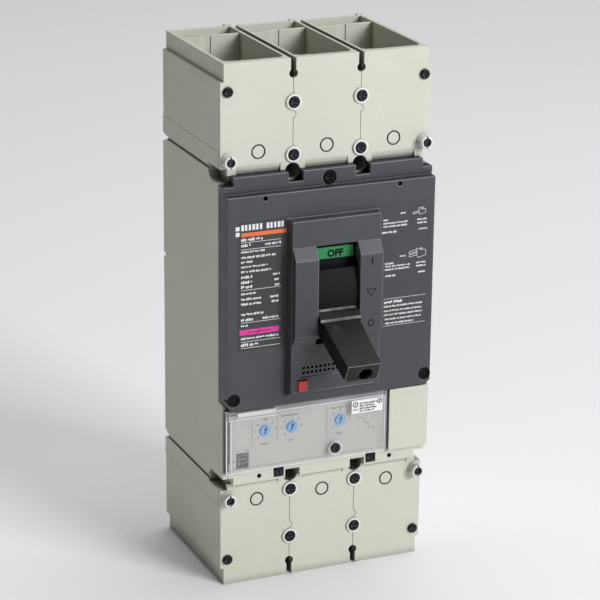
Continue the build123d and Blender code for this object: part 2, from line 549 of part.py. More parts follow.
def trip_face_plate():
    plate = block(-66.2, 40.6, TRIP_FRONT - 0.9, TRIP_FRONT - 0.05, -89.4, -50.5)
    for x, z in DIALS:
        plate -= rod_y(DIAL_RADIUS + 0.08, TRIP_FRONT - 2, TRIP_FRONT + 1, x, z)
    plate -= rod_y(2.4, TRIP_FRONT - 2, TRIP_FRONT + 1, LID_SCREW_X, LID_SCREW_Z)
    return plate - block(-61.2, -52.8, TRIP_FRONT - 2, TRIP_FRONT + 1, -89.2, -78.8)


def trip_lid():
    """Clear box lid, hinged on its left edge; a notch leaves room for the label bar."""
    plate = block(LID_LEFT, LID_RIGHT, LID_FRONT, LID_HINGE_Y, LID_BOTTOM, LID_TOP)
    corners = plate.edges().filter_by(Axis.Z).group_by(Axis.Y)[0].sort_by(Axis.X)
    plate = chamfer(corners[-1], 2.4)
    top_edge = plate.edges().filter_by(Axis.X).group_by(Axis.Y)[0].sort_by(Axis.Z)[-1]
    plate = chamfer(top_edge, 2.2)
    plate -= block(LID_LEFT + 1.0, LID_RIGHT - 1.1, LID_FRONT + 1.3, LID_HINGE_Y + 1,
                   LID_BOTTOM + 1, LID_TOP - 1.1)
    plate -= block(-62.5, -35.2, LID_FRONT - 1, LID_HINGE_Y + 1, -54.2, LID_TOP + 1)
    knuckle = rod_z(1.5, LID_BOTTOM, LID_TOP, LID_HINGE_X, LID_HINGE_Y)
    plate += knuckle
    plate -= rod_z(0.9 + RUNNING_FIT, LID_BOTTOM - 1, LID_TOP + 1, LID_HINGE_X, LID_HINGE_Y)
    boss = rod_y(4.65, LID_FRONT - 0.9, LID_FRONT + 0.1, LID_SCREW_X, LID_SCREW_Z)
    plate += boss - rod_y(3.7, LID_FRONT - 2, LID_FRONT + 1, LID_SCREW_X, LID_SCREW_Z)
    return plate - rod_y(1.5 + RUNNING_FIT, LID_FRONT - 2, LID_FRONT + 3, LID_SCREW_X, LID_SCREW_Z)


def rating_sticker():
    return block(15.8, 37.4, LID_FRONT - 0.2, LID_FRONT, -62.0, -53.0)


def lid_screw():
    return cross_head(3.25, LID_FRONT - 1.5, LID_FRONT, 1.5, TRIP_FRONT + 1.5, LID_SCREW_X, LID_SCREW_Z)


def dial(index):
    """Fluted adjustment dial with an arrow-shaped screwdriver slot, on its shaft."""
    x, z = DIALS[index]
    disc = rod_y(DIAL_RADIUS, TRIP_FRONT - 1.9, TRIP_FRONT - 0.15, x, z)
    for flute in range(12):
        dx, dz = polar(DIAL_RADIUS + 0.35, 30 * flute)
        disc -= rod_y(0.75, TRIP_FRONT - 3, TRIP_FRONT - 0.9, x + dx, z + dz)
    arrow = block(-0.45, 0.45, TRIP_FRONT - 3, TRIP_FRONT - 1.2, -2.3, 2.3)
    arrow += slab_y([(-1.5, 0.6), (0, 2.6), (1.5, 0.6)], TRIP_FRONT - 3, TRIP_FRONT - 1.2)
    disc -= Pos(x, 0, z) * Rot(0, 15, 0) * arrow
    return disc + rod_y(1.5, TRIP_FRONT - 0.15, TRIP_FRONT + 5.5, x, z)


def test_connector():
    socket = block(-61.0, -53.0, TRIP_FRONT - 1.3, TRIP_FRONT + 6, -89.0, -79.0)
    for z in (-86.8, -83.9, -81.0):
        socket -= block(-60.0, -54.0, TRIP_FRONT - 2, TRIP_FRONT + 3, z - 0.9, z + 0.9)
    return socket


def label_bar():
    bar = block(-61.9, -35.8, BLOCK_FRONT, TRIP_FRONT - 0.9, -53.6, -50.5)
    return chamfer(bar.edges().group_by(Axis.Y)[0], 0.4)


def trip_unit_screws():
    return group([cross_head(3.3, TRIP_FRONT - 0.5, TRIP_FRONT + 1.2, 1.6, -88, side * TRIP_SCREW_X, TRIP_SCREW_Z)
                  for side in (-1, 1)])


def circuit_board():
    board = block(-62, 38, TRIP_FRONT + 7, TRIP_FRONT + 8.6, -89, -53)
    parts = [(-50, -70, 12, 9), (-30, -78, 10, 8), (-8, -62, 14, 7), (22, -74, 9, 12), (0, -80, 6, 5)]
    for x, z, width, height in parts:
        board += block(x - width / 2, x + width / 2, TRIP_FRONT + 8.6, TRIP_FRONT + 10.8,
                       z - height / 2, z + height / 2)
    return board


def trip_actuator():
    """Solenoid that releases the mechanism: a bobbin between two yoke plates."""
    body = rod_z(7.5, -76, -58, PLUNGER_X, PLUNGER_Y)
    for z0, z1 in ((-58, -56), (-78, -76)):
        body += block(PLUNGER_X - 8, PLUNGER_X + 8, -92, -76, z0, z1)
    body += block(PLUNGER_X - 8, PLUNGER_X + 8, -78, -76, -78, -56)
    return body - rod_z(2.3 + RUNNING_FIT, -72.02, -50, PLUNGER_X, PLUNGER_Y)


def trip_plunger():
    stem = rod_z(2.3, -72, PLUNGER_TOP - 1.5, PLUNGER_X, PLUNGER_Y)
    return stem + rod_z(3.4, PLUNGER_TOP - 1.5, PLUNGER_TOP, PLUNGER_X, PLUNGER_Y)


def current_transformers():
    """Ring core with a winding round each load conductor."""
    rings = []
    for x in POLES:
        ring = block(x - 17, x + 17, -57, -29, -86, -68)
        ring += block(x - 13, x + 13, -59, -27, -83, -71)
        rings.append(ring - block(x - 9, x + 9, -46.5, -39.5, -90, -60))
    return group(rings)


# ---------------------------------------------------------------- toggle
def on_toggle(shape):
    """Places a shape drawn with the handle along -Y at the OFF position."""
    return Pos(0, PIVOT_Y, PIVOT_Z) * Rot(TOGGLE_TILT, 0, 0) * shape


def handle():
    root, tip = -45.5, -HANDLE_REACH
    lever = slab_z([(-12.2, root), (12.2, root), (11.0, tip), (-11.0, tip)], -7.0, 6.0)
    lower = lever.edges().group_by(Axis.Z)[0].filter_by(Axis.X, reverse=True)
    lever = fillet(lower, 1.6)
    lever = fillet(lever.edges().group_by(Axis.Y)[0], 0.5)
    collar = slab_x([(-38, -9.5), (-38, 9.5), (-40.4, 8.4), (-43.5, 8.0), (-46.6, 7.6), (-47.4, 6.0),
                     (-47.4, -7.0), (-46.6, -8.4), (-43.5, -8.8), (-40.4, -9.2)], -13.6, 13.6)
    body = lever + collar
    body -= rod_x(DRUM_RADIUS, -20, 20, 0, 0)
    return on_toggle(body - rod_y(4.5, tip - 1, tip + 14, 2.2, -1.9))


def flag_side(shape):
    """The same shape on both sides of the handle, for the OFF and the ON window."""
    upper = Rot(-TOGGLE_TILT, 0, 0) * shape
    return [upper, mirror(upper, Plane.XY)]


def shutter():
    ring = rod_x(DRUM_RADIUS, -15.6, 15.6, 0, 0) - rod_x(DRUM_RADIUS - 2.4, -16, 16, 0, 0)
    sector = slab_x([(0, 0), (-60, 69.5), (-60, -69.5)], -16, 16)
    drum = ring & sector
    carrier = slab_x([(-37.0, 13.6), (-31.0, 15.5), (-31.0, 28.6), (-29.4, 28.6), (-29.4, 14.0), (-36.4, 11.8)],
                     -14.9, 14.9)
    for piece in flag_side(carrier):
        drum += piece
    return on_toggle(drum)


def status_flags():
    """Green OFF plate and red ON plate, each flat behind its window."""
    plate = block(-13.8, 13.8, -32.0, -31.0, 21.2, 28.6)
    return group([on_toggle(piece) for piece in flag_side(plate)])


def crank_offset():
    return polar(CRANK, CRANK_REST - TOGGLE_TILT)


def yoke():
    """Steel fork that joins the handle to its pivot and carries the crank pin."""
    crank_y, crank_z = crank_offset()
    arms = None
    for side in (-1, 1):
        x0, x1 = sorted((side * 13.0, side * 15.0))
        arm = slab_x([(-36.3, -8), (-36.3, 8), (-4, 14), (crank_y - 4, crank_z + 3), (crank_y + 4, crank_z + 3),
                      (6, 4), (6, -4), (0, -7)], x0, x1)
        arm += rod_x(7, x0, x1, 0, 0)
        arm -= rod_x(3.0 + RUNNING_FIT, x0 - 1, x1 + 1, 0, 0)
        arms = arm if arms is None else arms + arm
    bar = rod_x(DRUM_RADIUS - 2.4, -15, 15, 0, 0) - rod_x(DRUM_RADIUS - 5, -16, 16, 0, 0)
    arms += bar & block(-15, 15, -40, 0, -10, 10)
    arms -= rod_x(PIN_RADIUS, -20, 20, crank_y, crank_z)
    arms -= rod_x(2.0, -20, 20, -24, 0)
    return on_toggle(arms)


def yoke_pins():
    crank_y, crank_z = crank_offset()
    return group([on_toggle(rod_x(PIN_RADIUS, -18.9, 18.9, crank_y, crank_z)),
                  on_toggle(rod_x(2.0, -15, 15, -24, 0))])


def main_springs():
    """Two springs between the pins of the yoke, with an eye plate at each end."""
    crank = crank_offset()
    start = (-24.0, 0.0)
    length = math.dist(start, crank)
    toward = ((crank[0] - start[0]) / length, (crank[1] - start[1]) / length)
    springs = []
    for x in (-7.5, 7.5):
        low = (start[0] + 5 * toward[0], start[1] + 5 * toward[1])
        high = (crank[0] - 5 * toward[0], crank[1] - 5 * toward[1])
        body = coil(3.8, 0.8, low, high, x)
        for centre, radius in ((start, 2.0), (crank, PIN_RADIUS)):
            inward = 1 if centre is start else -1
            reach = inward * 6
            along = [(centre[0] + reach * toward[0] * k, centre[1] + reach * toward[1] * k) for k in (0, 1)]
            eye = rod_x(radius + 1.6, x - 0.8, x + 0.8, *centre)
            across = (-toward[1] * 2.4, toward[0] * 2.4)
            eye += slab_x([(along[0][0] + across[0], along[0][1] + across[1]),
                           (along[1][0] + across[0], along[1][1] + across[1]),
                           (along[1][0] - across[0], along[1][1] - across[1]),
                           (along[0][0] - across[0], along[0][1] - across[1])], x - 0.8, x + 0.8)
            body += eye - rod_x(radius + 0.02, x - 2, x + 2, *centre)
        springs.append(on_toggle(body))
    return group(springs)


# ---------------------------------------------------------------- mechanism
def crank_pin_at(centre_y, centre_z):
    dy, dz = polar(CRANK, CRANK_REST)
    return centre_y + dy, centre_z + dz


def drive_links():
    """Two plates from the yoke's crank pin to the drive rod, a parallelogram with the cranks."""
    front = crank_pin_at(PIVOT_Y, PIVOT_Z)
    rear = crank_pin_at(ROTOR_Y, ROTOR_Z)
    length = math.dist(front, rear)
    across = (-(rear[1] - front[1]) / length * 4, (rear[0] - front[0]) / length * 4)
    plates = []
    for side in (-1, 1):
        x0, x1 = sorted((side * 16.4, side * 18.4))
        corners = [(front, 1), (rear, 1), (rear, -1), (front, -1)]
        plate = slab_x([(end[0] + sign * across[0], end[1] + sign * across[1]) for end, sign in corners], x0, x1)
        plate += rod_x(5.2, x0, x1, *front) + rod_x(5.6, x0, x1, *rear)
        plate -= rod_x(PIN_RADIUS + RUNNING_FIT, x0 - 1, x1 + 1, *front)
        plate -= rod_x(ROD_RADIUS + RUNNING_FIT, x0 - 1, x1 + 1, *rear)
        plates.append(plate)
    return group(plates)


def mechanism_side_plates():
    """Two steel plates with the stub pins that the yoke turns on, joined by the cradle and latch pins."""
    frame = None
    for side in (-1, 1):
        x0, x1 = sorted((side * 19.2, side * 20.8))
        plate = slab_x([(-61.5, -27.5), (-78, -27.5), (-92, -14), (-103, 6), (-103, 42), (-92, 66), (-61.5, 66)],
                       x0, x1)
        s0, s1 = sorted((side * 12.4, side * 20.8))
        plate += rod_x(3.0, s0, s1, PIVOT_Y, PIVOT_Z)
        frame = plate if frame is None else frame + plate
    for y, z in ((CRADLE_Y, CRADLE_Z), (LATCH_Y, LATCH_Z)):
        frame += rod_x(2.0, -20, 20, y, z)
    return frame


def cradle():
    """Lever that the main springs pull on, held by the latch under its foot."""
    plate = slab_x([(-66.9, CRADLE_FOOT_Z), (-64.2, CRADLE_FOOT_Z), (-64.2, 52), (-61.8, 57), (-61.8, 63),
                    (-69.5, 63), (-69.5, 56), (-66.9, 52)], -3, 3)
    return plate - rod_x(2.0 + RUNNING_FIT, -4, 4, CRADLE_Y, CRADLE_Z)


def latch():
    """Lever whose blade stands behind the cradle's foot; its tail lies under the trip bar's arm."""
    plate = slab_x([(-64.1, -14.5), (-61.9, -14.5), (-61.9, -20), (-70, -28), (-84.5, -31.2), (-84.5, -28.9),
                    (-77, -26), (-76, -20.6), (-67, -20.6), (-64.1, -17.5)], -4, 4)
    return plate - rod_x(2.0 + RUNNING_FIT, -5, 5, LATCH_Y, LATCH_Z)


def trip_bar():
    """Bar across the breaker; the button and the plunger turn it, and its arm frees the latch."""
    bar = rod_x(TRIP_BAR_RADIUS, -TRIP_BAR_END, TRIP_BAR_END, TRIP_BAR_Y, TRIP_BAR_Z)
    paddle = [(1, 0), (-3, 0), (-3, -3), (-6.3, -12), (1, -12)]
    bar += slab_x([(TRIP_BAR_Y + y, TRIP_BAR_Z + z) for y, z in paddle], BUTTON_X - 3, BUTTON_X + 3)
    bar += block(-2.5, 2.5, TRIP_BAR_Y - 1, TRIP_BAR_Y + 6.5, -28.5, -26.1)
    bar += block(PLUNGER_X - 4, PLUNGER_X + 4, TRIP_BAR_Y - 1.5, TRIP_BAR_Y + 1.5, -40.5, TRIP_BAR_Z)
    return bar + block(PLUNGER_X - 4, PLUNGER_X + 4, TRIP_BAR_Y - 1.5, TRIP_BAR_Y + 11, -40.5, -38.5)


def trip_button():
    x0, x1 = BUTTON_X - BUTTON_WIDTH / 2, BUTTON_X + BUTTON_WIDTH / 2
    z0, z1 = BUTTON_Z - BUTTON_HEIGHT / 2, BUTTON_Z + BUTTON_HEIGHT / 2
    cap = block(x0, x1, NOSE_FRONT - 1.5, -112.6, z0, z1)
    cap = fillet(cap.edges().group_by(Axis.Y)[0], 0.7)
    cap -= rod_x(9.5, x0 - 1, x1 + 1, NOSE_FRONT - 10.5, BUTTON_Z)
    cap += block(x0 - 1.0, x1 + 1.0, -113.2, -112.0, z0 + 0.4, z1 + 1.2)
    return cap + rod_y(STEM_RADIUS, -112.5, TRIP_BAR_Y - 5.3, BUTTON_X, STEM_Z)


def button_spring():
    """Return spring round the button's stem, at its rest length."""
    return coil(2.9, 0.45, (-111.98, STEM_Z), (SHELF_FRONT - 0.02, STEM_Z), BUTTON_X)


# ---------------------------------------------------------------- poles
def rod_slots(x0, x1):
    """Curved slots in a cassette wall for the two drive rods, over the whole travel."""
    ring = rod_x(CRANK + ROD_RADIUS + 0.7, x0, x1, 0, 0) - rod_x(CRANK - ROD_RADIUS - 0.7, x0 - 1, x1 + 1, 0, 0)
    low, high = CRANK_REST - 2 * TOGGLE_TILT - 15, CRANK_REST + 15
    middle = (low + high) / 2
    wedge = slab_x([(0, 0), polar(60, low), polar(90, middle), polar(60, high)], x0, x1)
    upper = ring & wedge
    return Pos(0, ROTOR_Y, ROTOR_Z) * (upper + Rot(180, 0, 0) * upper)


def pole_cassette(x):
    box = block(x - 15.5, x + 15.5, -58, -10, -45, 75)
    box -= block(x - 13.5, x + 13.5, -56, -12, -43, 73)
    box -= block(x - 8.4, x + 8.4, -22.4, -17.6, 70, 80)
    box -= block(x - 8.4, x + 8.4, -50.4, -45.6, -50, -40)
    for side in (-1, 1):
        x0, x1 = sorted((x + side * 13, x + side * 16))
        box -= rod_slots(x0, x1)
        box -= rod_x(7.0 + RUNNING_FIT, x0, x1, ROTOR_Y, ROTOR_Z)
    # vents for the arc gases at both ends
    for offset in (-9, -3, 3, 9):
        box -= block(x + offset - 1.6, x + offset + 1.6, -50, -30, 72, 76)
        box -= block(x + offset - 1.6, x + offset + 1.6, -38, -18, -46, -42)
    return box


def turned(shape, direction):
    """Turns a shape drawn along +Z to a direction about the contact shaft."""
    return Pos(0, ROTOR_Y, ROTOR_Z) * Rot(direction - 90, 0, 0) * shape


def rod_shapes(radius, x0, x1):
    dy, dz = polar(CRANK, CRANK_REST)
    return [rod_x(radius, x0, x1, ROTOR_Y + sign * dy, ROTOR_Z + sign * dz) for sign in (-1, 1)]


def rotor(x):
    body = rod_x(ROTOR_RADIUS, x - 12, x + 12, ROTOR_Y, ROTOR_Z)
    body += rod_x(7.0, x - 15.3, x + 15.3, ROTOR_Y, ROTOR_Z)
    body -= turned(block(x - 4.3, x + 4.3, -2.9, 2.9, -30, 30), ARM_OPEN)
    for rod in rod_shapes(ROD_RADIUS, x - 16, x + 16):
        body -= rod
    return body


def contact_arm(x):
    bar = block(x - 4, x + 4, -2.6, 2.6, -30, 30)
    bar = chamfer(bar.edges().filter_by(Axis.X), 1.0)
    return turned(bar, ARM_OPEN)


def pad_pair(x, inner, outer, width):
    """Contact pads on the closing side of both tips of an arm drawn along +Z."""
    upper = block(x - width, x + width, inner, outer, 24.2, 28.8)
    lower = block(x - width, x + width, -outer, -inner, -28.8, -24.2)
    return [upper, lower]


def moving_contact_pads():
    return group([turned(pad, ARM_OPEN) for x in POLES for pad in pad_pair(x, 2.6, 4.1, 3.6)])


def line_conductor(x):
    bar = slab_x([(-22, 35), (-22, 78), (PAD_FRONT, 91), (PAD_FRONT, PAD_END), (PAD_BACK, PAD_END),
                  (PAD_BACK, 93.3), (-18, 80.3), (-18, 35)], x - 8, x + 8)
    bar += block(x - 12.5, x + 12.5, PAD_FRONT, PAD_BACK, 102.2, PAD_END)
    return bar - rod_y(5.25, -60, -30, x, BOLT_Z)


def load_conductor(x):
    bar = slab_x([(-50, -5), (-50, -52), (PAD_FRONT, -60), (PAD_FRONT, -PAD_END), (PAD_BACK, -PAD_END),
                  (PAD_BACK, -61.2), (-46, -53.2), (-46, -5)], x - 8, x + 8)
    bar += block(x - 12.5, x + 12.5, PAD_FRONT, PAD_BACK, -PAD_END, -102.2)
    return bar - rod_y(5.25, -60, -30, x, -BOLT_Z)


def fixed_contact_pads():
    pads = []
    for x in POLES:
        upper, lower = pad_pair(x, 4.4, 9.0, 3.6)
        pads.append(turned(upper, ARM_CLOSED) - block(x - 9, x + 9, -22, -10, 20, 60))
        pads.append(turned(lower, ARM_CLOSED) - block(x - 9, x + 9, -60, -46, -30, 10))
    return group(pads)


def arc_chute_plates():
    """Steel plates across the path of each arc, notched towards the contact tip."""
    plates = []
    for x in POLES:
        for step in range(8):
            y = -27.5 - 3.6 * step
            plate = slab_y([(x - 12.6, 46.5), (x - 6, 46.5), (x, 56), (x + 6, 46.5), (x + 12.6, 46.5),
                            (x + 12.6, 71), (x - 12.6, 71)], y - 0.6, y + 0.6)
            plates.append(plate)
            plates.append(Pos(0, 2 * ROTOR_Y, 2 * ROTOR_Z) * Rot(180, 0, 0) * plate)
    return group(plates)


def drive_rods():
    return group(rod_shapes(ROD_RADIUS, -58, 58))


# ---------------------------------------------------------------- terminals
def cable_lug(x):
    tang = block(x - 12.5, x + 12.5, PAD_FRONT - 5, PAD_FRONT, 103, LUG_IN + 2)
    barrel = block(x - 15, x + 15, LUG_BORE_Y - 15, LUG_BORE_Y + 14, LUG_IN, LUG_OUT)
    barrel = fillet(barrel.edges().filter_by(Axis.Z).group_by(Axis.Y)[-1], 6)
    lug = tang + barrel
    lug -= rod_z(LUG_BORE_RADIUS, LUG_IN - 1, LUG_OUT + 1, x, LUG_BORE_Y)
    lug -= rod_y(5.25, PAD_FRONT - 8, PAD_FRONT + 1, x, BOLT_Z)
    return lug - rod_y(8.0, LUG_BORE_Y - 20, LUG_BORE_Y - LUG_BORE_RADIUS + 3, x, 142)


def cable_lugs():
    return group([end for x in POLES for end in both_ends(cable_lug(x))])


def lug_bolts():
    """Socket-head bolts that hold the lugs on the terminal pads."""
    bolts = []
    for x in POLES:
        head = PAD_FRONT - 5
        bolt = hex_socket(8.0, 8.0, head - 8, head, 4, x, BOLT_Z) + rod_y(5.0, head, -30, x, BOLT_Z)
        bolts += both_ends(bolt)
    return group(bolts)


def lug_clamp_screws():
    """Threaded plugs that press the cable, backed out to leave the bore free."""
    screws = []
    for x in POLES:
        tip = LUG_BORE_Y - math.sqrt(LUG_BORE_RADIUS ** 2 - 7.8 ** 2) - 3.8
        screws += both_ends(hex_socket(7.9, 8.0, tip - 13, tip, 7, x, 142))
    return group(screws)


# ---------------------------------------------------------------- nodes
def shields():
    upper = {"left": upper_shield(False, True),
             "middle": upper_shield(True, True),
             "right": upper_shield(True, False)}
    nodes = {}
    for name, shape in upper.items():
        nodes["shield_upper_" + name] = shape
        nodes["shield_lower_" + name] = mirror(shape, Plane.XY)
    return nodes


def poles():
    nodes = {}
    for name, x in zip(("left", "middle", "right"), POLES):
        nodes["pole_cassette_" + name] = pole_cassette(x)
        nodes["rotor_" + name] = rotor(x)
        nodes["contact_arm_" + name] = contact_arm(x)
    return nodes


def all_nodes():
    nodes = {"base": base(), "front_cover": front_cover()}
    nodes.update(shields())
    nodes.update(poles())
    builders = (seam_screws, seam_screw_collars, corner_screws, sealing_screws, cover_screw, cover_plugs,
                trip_unit_housing, trip_face_plate, trip_lid, rating_sticker, lid_screw, test_connector,
                label_bar, trip_unit_screws, circuit_board, trip_actuator, trip_plunger,
                current_transformers, handle, shutter, status_flags, yoke, yoke_pins, main_springs,
                drive_links, mechanism_side_plates, cradle, latch, trip_bar, trip_button, button_spring,
                moving_contact_pads, fixed_contact_pads, arc_chute_plates, drive_rods, cable_lugs,
                lug_bolts, lug_clamp_screws)
    for builder in builders:
        nodes[builder.__name__] = builder()
    for index in range(len(DIALS)):
        nodes["dial_" + str(index + 1)] = dial(index)
    nodes["line_conductors"] = group([line_conductor(x) for x in POLES])
    nodes["load_conductors"] = group([load_conductor(x) for x in POLES])
    return nodes


os.makedirs("parts", exist_ok=True)
for node, shape in all_nodes().items():
    export_step(shape, "parts/" + node + ".step")
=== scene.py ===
import json
import math
import random

import bmesh
import bpy
from mathutils import Matrix, Vector


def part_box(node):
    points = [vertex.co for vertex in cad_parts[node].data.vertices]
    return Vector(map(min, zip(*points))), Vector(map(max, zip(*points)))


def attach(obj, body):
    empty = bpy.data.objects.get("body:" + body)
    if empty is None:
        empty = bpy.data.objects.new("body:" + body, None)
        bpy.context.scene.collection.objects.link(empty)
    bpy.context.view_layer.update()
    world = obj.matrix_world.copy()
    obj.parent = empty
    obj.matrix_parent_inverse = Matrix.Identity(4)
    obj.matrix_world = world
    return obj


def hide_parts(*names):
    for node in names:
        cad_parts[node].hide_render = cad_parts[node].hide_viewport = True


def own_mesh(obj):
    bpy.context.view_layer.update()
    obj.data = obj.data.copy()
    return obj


# Looks of the molded case breaker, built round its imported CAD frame.
# All places are in the row frame. Lengths are millimetres, as in the CAD, unless they say otherwise.

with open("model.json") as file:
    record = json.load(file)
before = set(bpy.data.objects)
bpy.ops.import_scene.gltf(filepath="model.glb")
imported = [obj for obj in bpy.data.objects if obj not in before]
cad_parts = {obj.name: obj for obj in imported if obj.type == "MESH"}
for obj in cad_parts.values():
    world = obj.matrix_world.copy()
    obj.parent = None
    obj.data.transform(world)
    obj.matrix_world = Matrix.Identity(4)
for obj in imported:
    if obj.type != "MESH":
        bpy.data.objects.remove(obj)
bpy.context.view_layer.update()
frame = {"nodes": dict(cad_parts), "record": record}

MM = 0.001
IMAGE_SIDE = 600.0
SENSOR_MM = 36.0

# camera, fitted to the object's outline
CAMERA_AZIMUTH = math.radians(-23.60)
CAMERA_ELEVATION = math.radians(18.89)
CAMERA_ROLL = math.radians(0.63)
CAMERA_OFFSET = (-24.09, 16.82)
CAMERA_DISTANCE = 1594.0
FOCAL_PIXELS = 2407.9

FLOOR_Z = -170.0
FACE_Y = -110.0              # front cover
RAIL_Y = -121.2
PLATE_Y = -103.9             # trip unit face plate
LID_Y = -108.0
BOSS_Y = -108.9              # ring round the lid's screw
PIVOT_Y, PIVOT_Z = -79.0, 23.8      # axis of the toggle
FLAG_FRONT = 32.0            # the flags' front, this far before the axis
FLAG_LOW, FLAG_HIGH = 21.2, 28.6    # and their edges above it
HANDLE_LEAN = 26.0           # degrees below horizontal when OFF
FLAG_SWING = 52.0            # degrees between the OFF and the ON flag
FLAG_HALF_WIDTH = 13.7
FLAG_FACE = 0.1              # thickness of the coloured face
ARROW_FLOOR_Y = -104.2       # floor of the dials' slots
ARROW_LEAN = 15.0            # degrees
ARROW_REACH = 2.2            # from the dial's centre to the arrow's tip
ARROW_WIDTH = 0.8
BARB_PLACE, BARB_REACH, BARB_WIDTH = 0.9, 1.2, 0.7    # cross stroke of the arrow
RAY_COUNT = 12
RAY_START, RAY_END, RAY_WIDTH = 3.6, 5.4, 0.7         # from the dial's centre
DIAL_NODES = ("dial_1", "dial_2", "dial_3")
DIAL_BODIES = ("dial_left", "dial_centre", "dial_right")
DIAL_SCALE = (".4", ".5", ".6", ".7", ".8", ".9", "1")
SCALE_START, SCALE_STEP = 225, 45    # degrees
SCALE_REACH_X, SCALE_REACH_Z = 6.9, 6.4
SCALE_HEIGHT = 1.5
POST_BOTTOM_Y = -99.8        # floor of the hollow sealing screws
SEALING_PLACES = [(x, z) for x in (-65.5, 65.5) for z in (-110.3, 110.3)]
NOTCH_LEFT, NOTCH_RIGHT = -62.5, -35.2    # of the lid, round the label bar
PIN_COLUMNS, PIN_ROWS = (-59.0, -57.0, -55.0), (-86.8, -83.9, -81.0)    # of the test connector

# prints
PRINT = 0.05                 # thickness of ink
FILM = 0.03                  # thickness of a label's film
LETTER_PITCH = 0.62          # width of a letter, as a share of its height
TITLE_WORDS = (6, 5)         # bars in each word of the large name
TEXT_SIZE = 1.38             # font size for a capital of height 1
WORD_WEIGHT = 0.3            # extra thickness of the letters on the flags
LEFT_SEED, RIGHT_SEED, PLATE_SEED, STICKER_SEED, LID_SEED = 4, 9, 12, 21, 31

# painted edge highlight, painted crevice shade and grain
HIGHLIGHT_SIDE = (0.5, 0.0, 0.85)  # edges turned this way, toward the lamps, get the strongest painted highlight
CREVICE_REACH = 12.0         # walls nearer than this darken a groove with painted shade
GRAIN = 1400.0               # spark-eroded grain, in features per metre
GRAIN_DEPTH = 0.03
SCRATCH_DEPTH = 0.02
LID_EDGE_RADIUS = 0.55
LID_ALPHA, LID_BEVEL_ALPHA, LID_EDGE_ALPHA = 0.07, 0.5, 0.9    # flat faces, front bevels with painted reflection, edges with painted glint

# studio: place, target, width in metres, power in watts and colour of each lamp
LAMPS = {
    "overhead": ((0.7, 0.6, 3.6), (0.3, 0.4, 0.0), 3.6, 100.0, (1.0, 1.0, 1.0)),
    "key": ((1.3, -2.6, 1.3), (0.0, -0.05, 0.0), 1.3, 75.0, (0.97, 0.98, 1.04)),
}
FLOOR_REACH = 6.0            # metres
WORLD_STRENGTH = 0.09


# ---------------------------------------------------------------- node helpers
def new_material(name):
    """Empty material with one Principled shader."""
    material = bpy.data.materials.new(name)
    material.use_nodes = True
    tree = material.node_tree
    tree.nodes.clear()
    output = tree.nodes.new("ShaderNodeOutputMaterial")
    shader = tree.nodes.new("ShaderNodeBsdfPrincipled")
    tree.links.new(shader.outputs["BSDF"], output.inputs["Surface"])
    return material, tree, shader


def noise(tree, scale, detail=3.0, stretch=(1, 1, 1)):
    """Noise in object space; scale is in features per metre."""
    coords = tree.nodes.new("ShaderNodeTexCoord")
    mapping = tree.nodes.new("ShaderNodeMapping")
    mapping.inputs["Scale"].default_value = [scale * s for s in stretch]
    texture = tree.nodes.new("ShaderNodeTexNoise")
    texture.inputs["Scale"].default_value = 1.0
    texture.inputs["Detail"].default_value = detail
    tree.links.new(coords.outputs["Object"], mapping.inputs["Vector"])
    tree.links.new(mapping.outputs["Vector"], texture.inputs["Vector"])
    return texture.outputs["Fac"]


def remap(tree, value, low, high, to_low, to_high):
    """Maps low..high to to_low..to_high, clamped."""
    node = tree.nodes.new("ShaderNodeMapRange")
    node.inputs["From Min"].default_value = low
    node.inputs["From Max"].default_value = high
    node.inputs["To Min"].default_value = to_low
    node.inputs["To Max"].default_value = to_high
    tree.links.new(value, node.inputs["Value"])
    return node.outputs["Result"]


def math_node(tree, operation, first, second):
    """Math node on two values, each a socket or a number."""
    node = tree.nodes.new("ShaderNodeMath")
    node.operation = operation
    for socket, value in zip(node.inputs, (first, second)):
        if isinstance(value, (int, float)):
            socket.default_value = value
        else:
            tree.links.new(value, socket)
    return node.outputs["Value"]


def mix_colours(tree, factor, first, second):
    """Blend of two colours, each a socket or a tuple."""
    node = tree.nodes.new("ShaderNodeMix")
    node.data_type = "RGBA"
    tree.links.new(factor, node.inputs["Factor"])
    for name, value in (("A", first), ("B", second)):
        socket = [s for s in node.inputs if s.name == name and s.type == "RGBA"][0]
        if isinstance(value, (tuple, list)):
            socket.default_value = (*value[:3], 1.0)
        else:
            tree.links.new(value, socket)
    return [s for s in node.outputs if s.type == "RGBA"][0]


def shade(colour, factor):
    """Colour made darker or lighter, up to white."""
    return tuple(min(1.0, channel * factor) for channel in colour)


def bevel_turn(tree, radius):
    """Normal with the sharp edges rounded, and how much it turns there, from 0 to 1."""
    bevel = tree.nodes.new("ShaderNodeBevel")
    bevel.samples = 6
    bevel.inputs["Radius"].default_value = radius * MM
    geometry = tree.nodes.new("ShaderNodeNewGeometry")
    turned = tree.nodes.new("ShaderNodeVectorMath")
    turned.operation = "DOT_PRODUCT"
    tree.links.new(bevel.outputs["Normal"], turned.inputs[0])
    tree.links.new(geometry.outputs["Normal"], turned.inputs[1])
    return bevel.outputs["Normal"], remap(tree, turned.outputs["Value"], 0.995, 0.85, 0.0, 1.0)


def rounded_normal(tree, radius):
    """Rounded normal, and how much painted highlight a point gets: most on edges that face up or right, toward
    the lamps.
    """
    normal, edge = bevel_turn(tree, radius)
    facing = tree.nodes.new("ShaderNodeVectorMath")
    facing.operation = "DOT_PRODUCT"
    tree.links.new(normal, facing.inputs[0])
    facing.inputs[1].default_value = HIGHLIGHT_SIDE
    lamp_side = remap(tree, facing.outputs["Value"], -0.2, 0.6, 0.25, 1.0)
    return normal, math_node(tree, "MULTIPLY", edge, lamp_side)


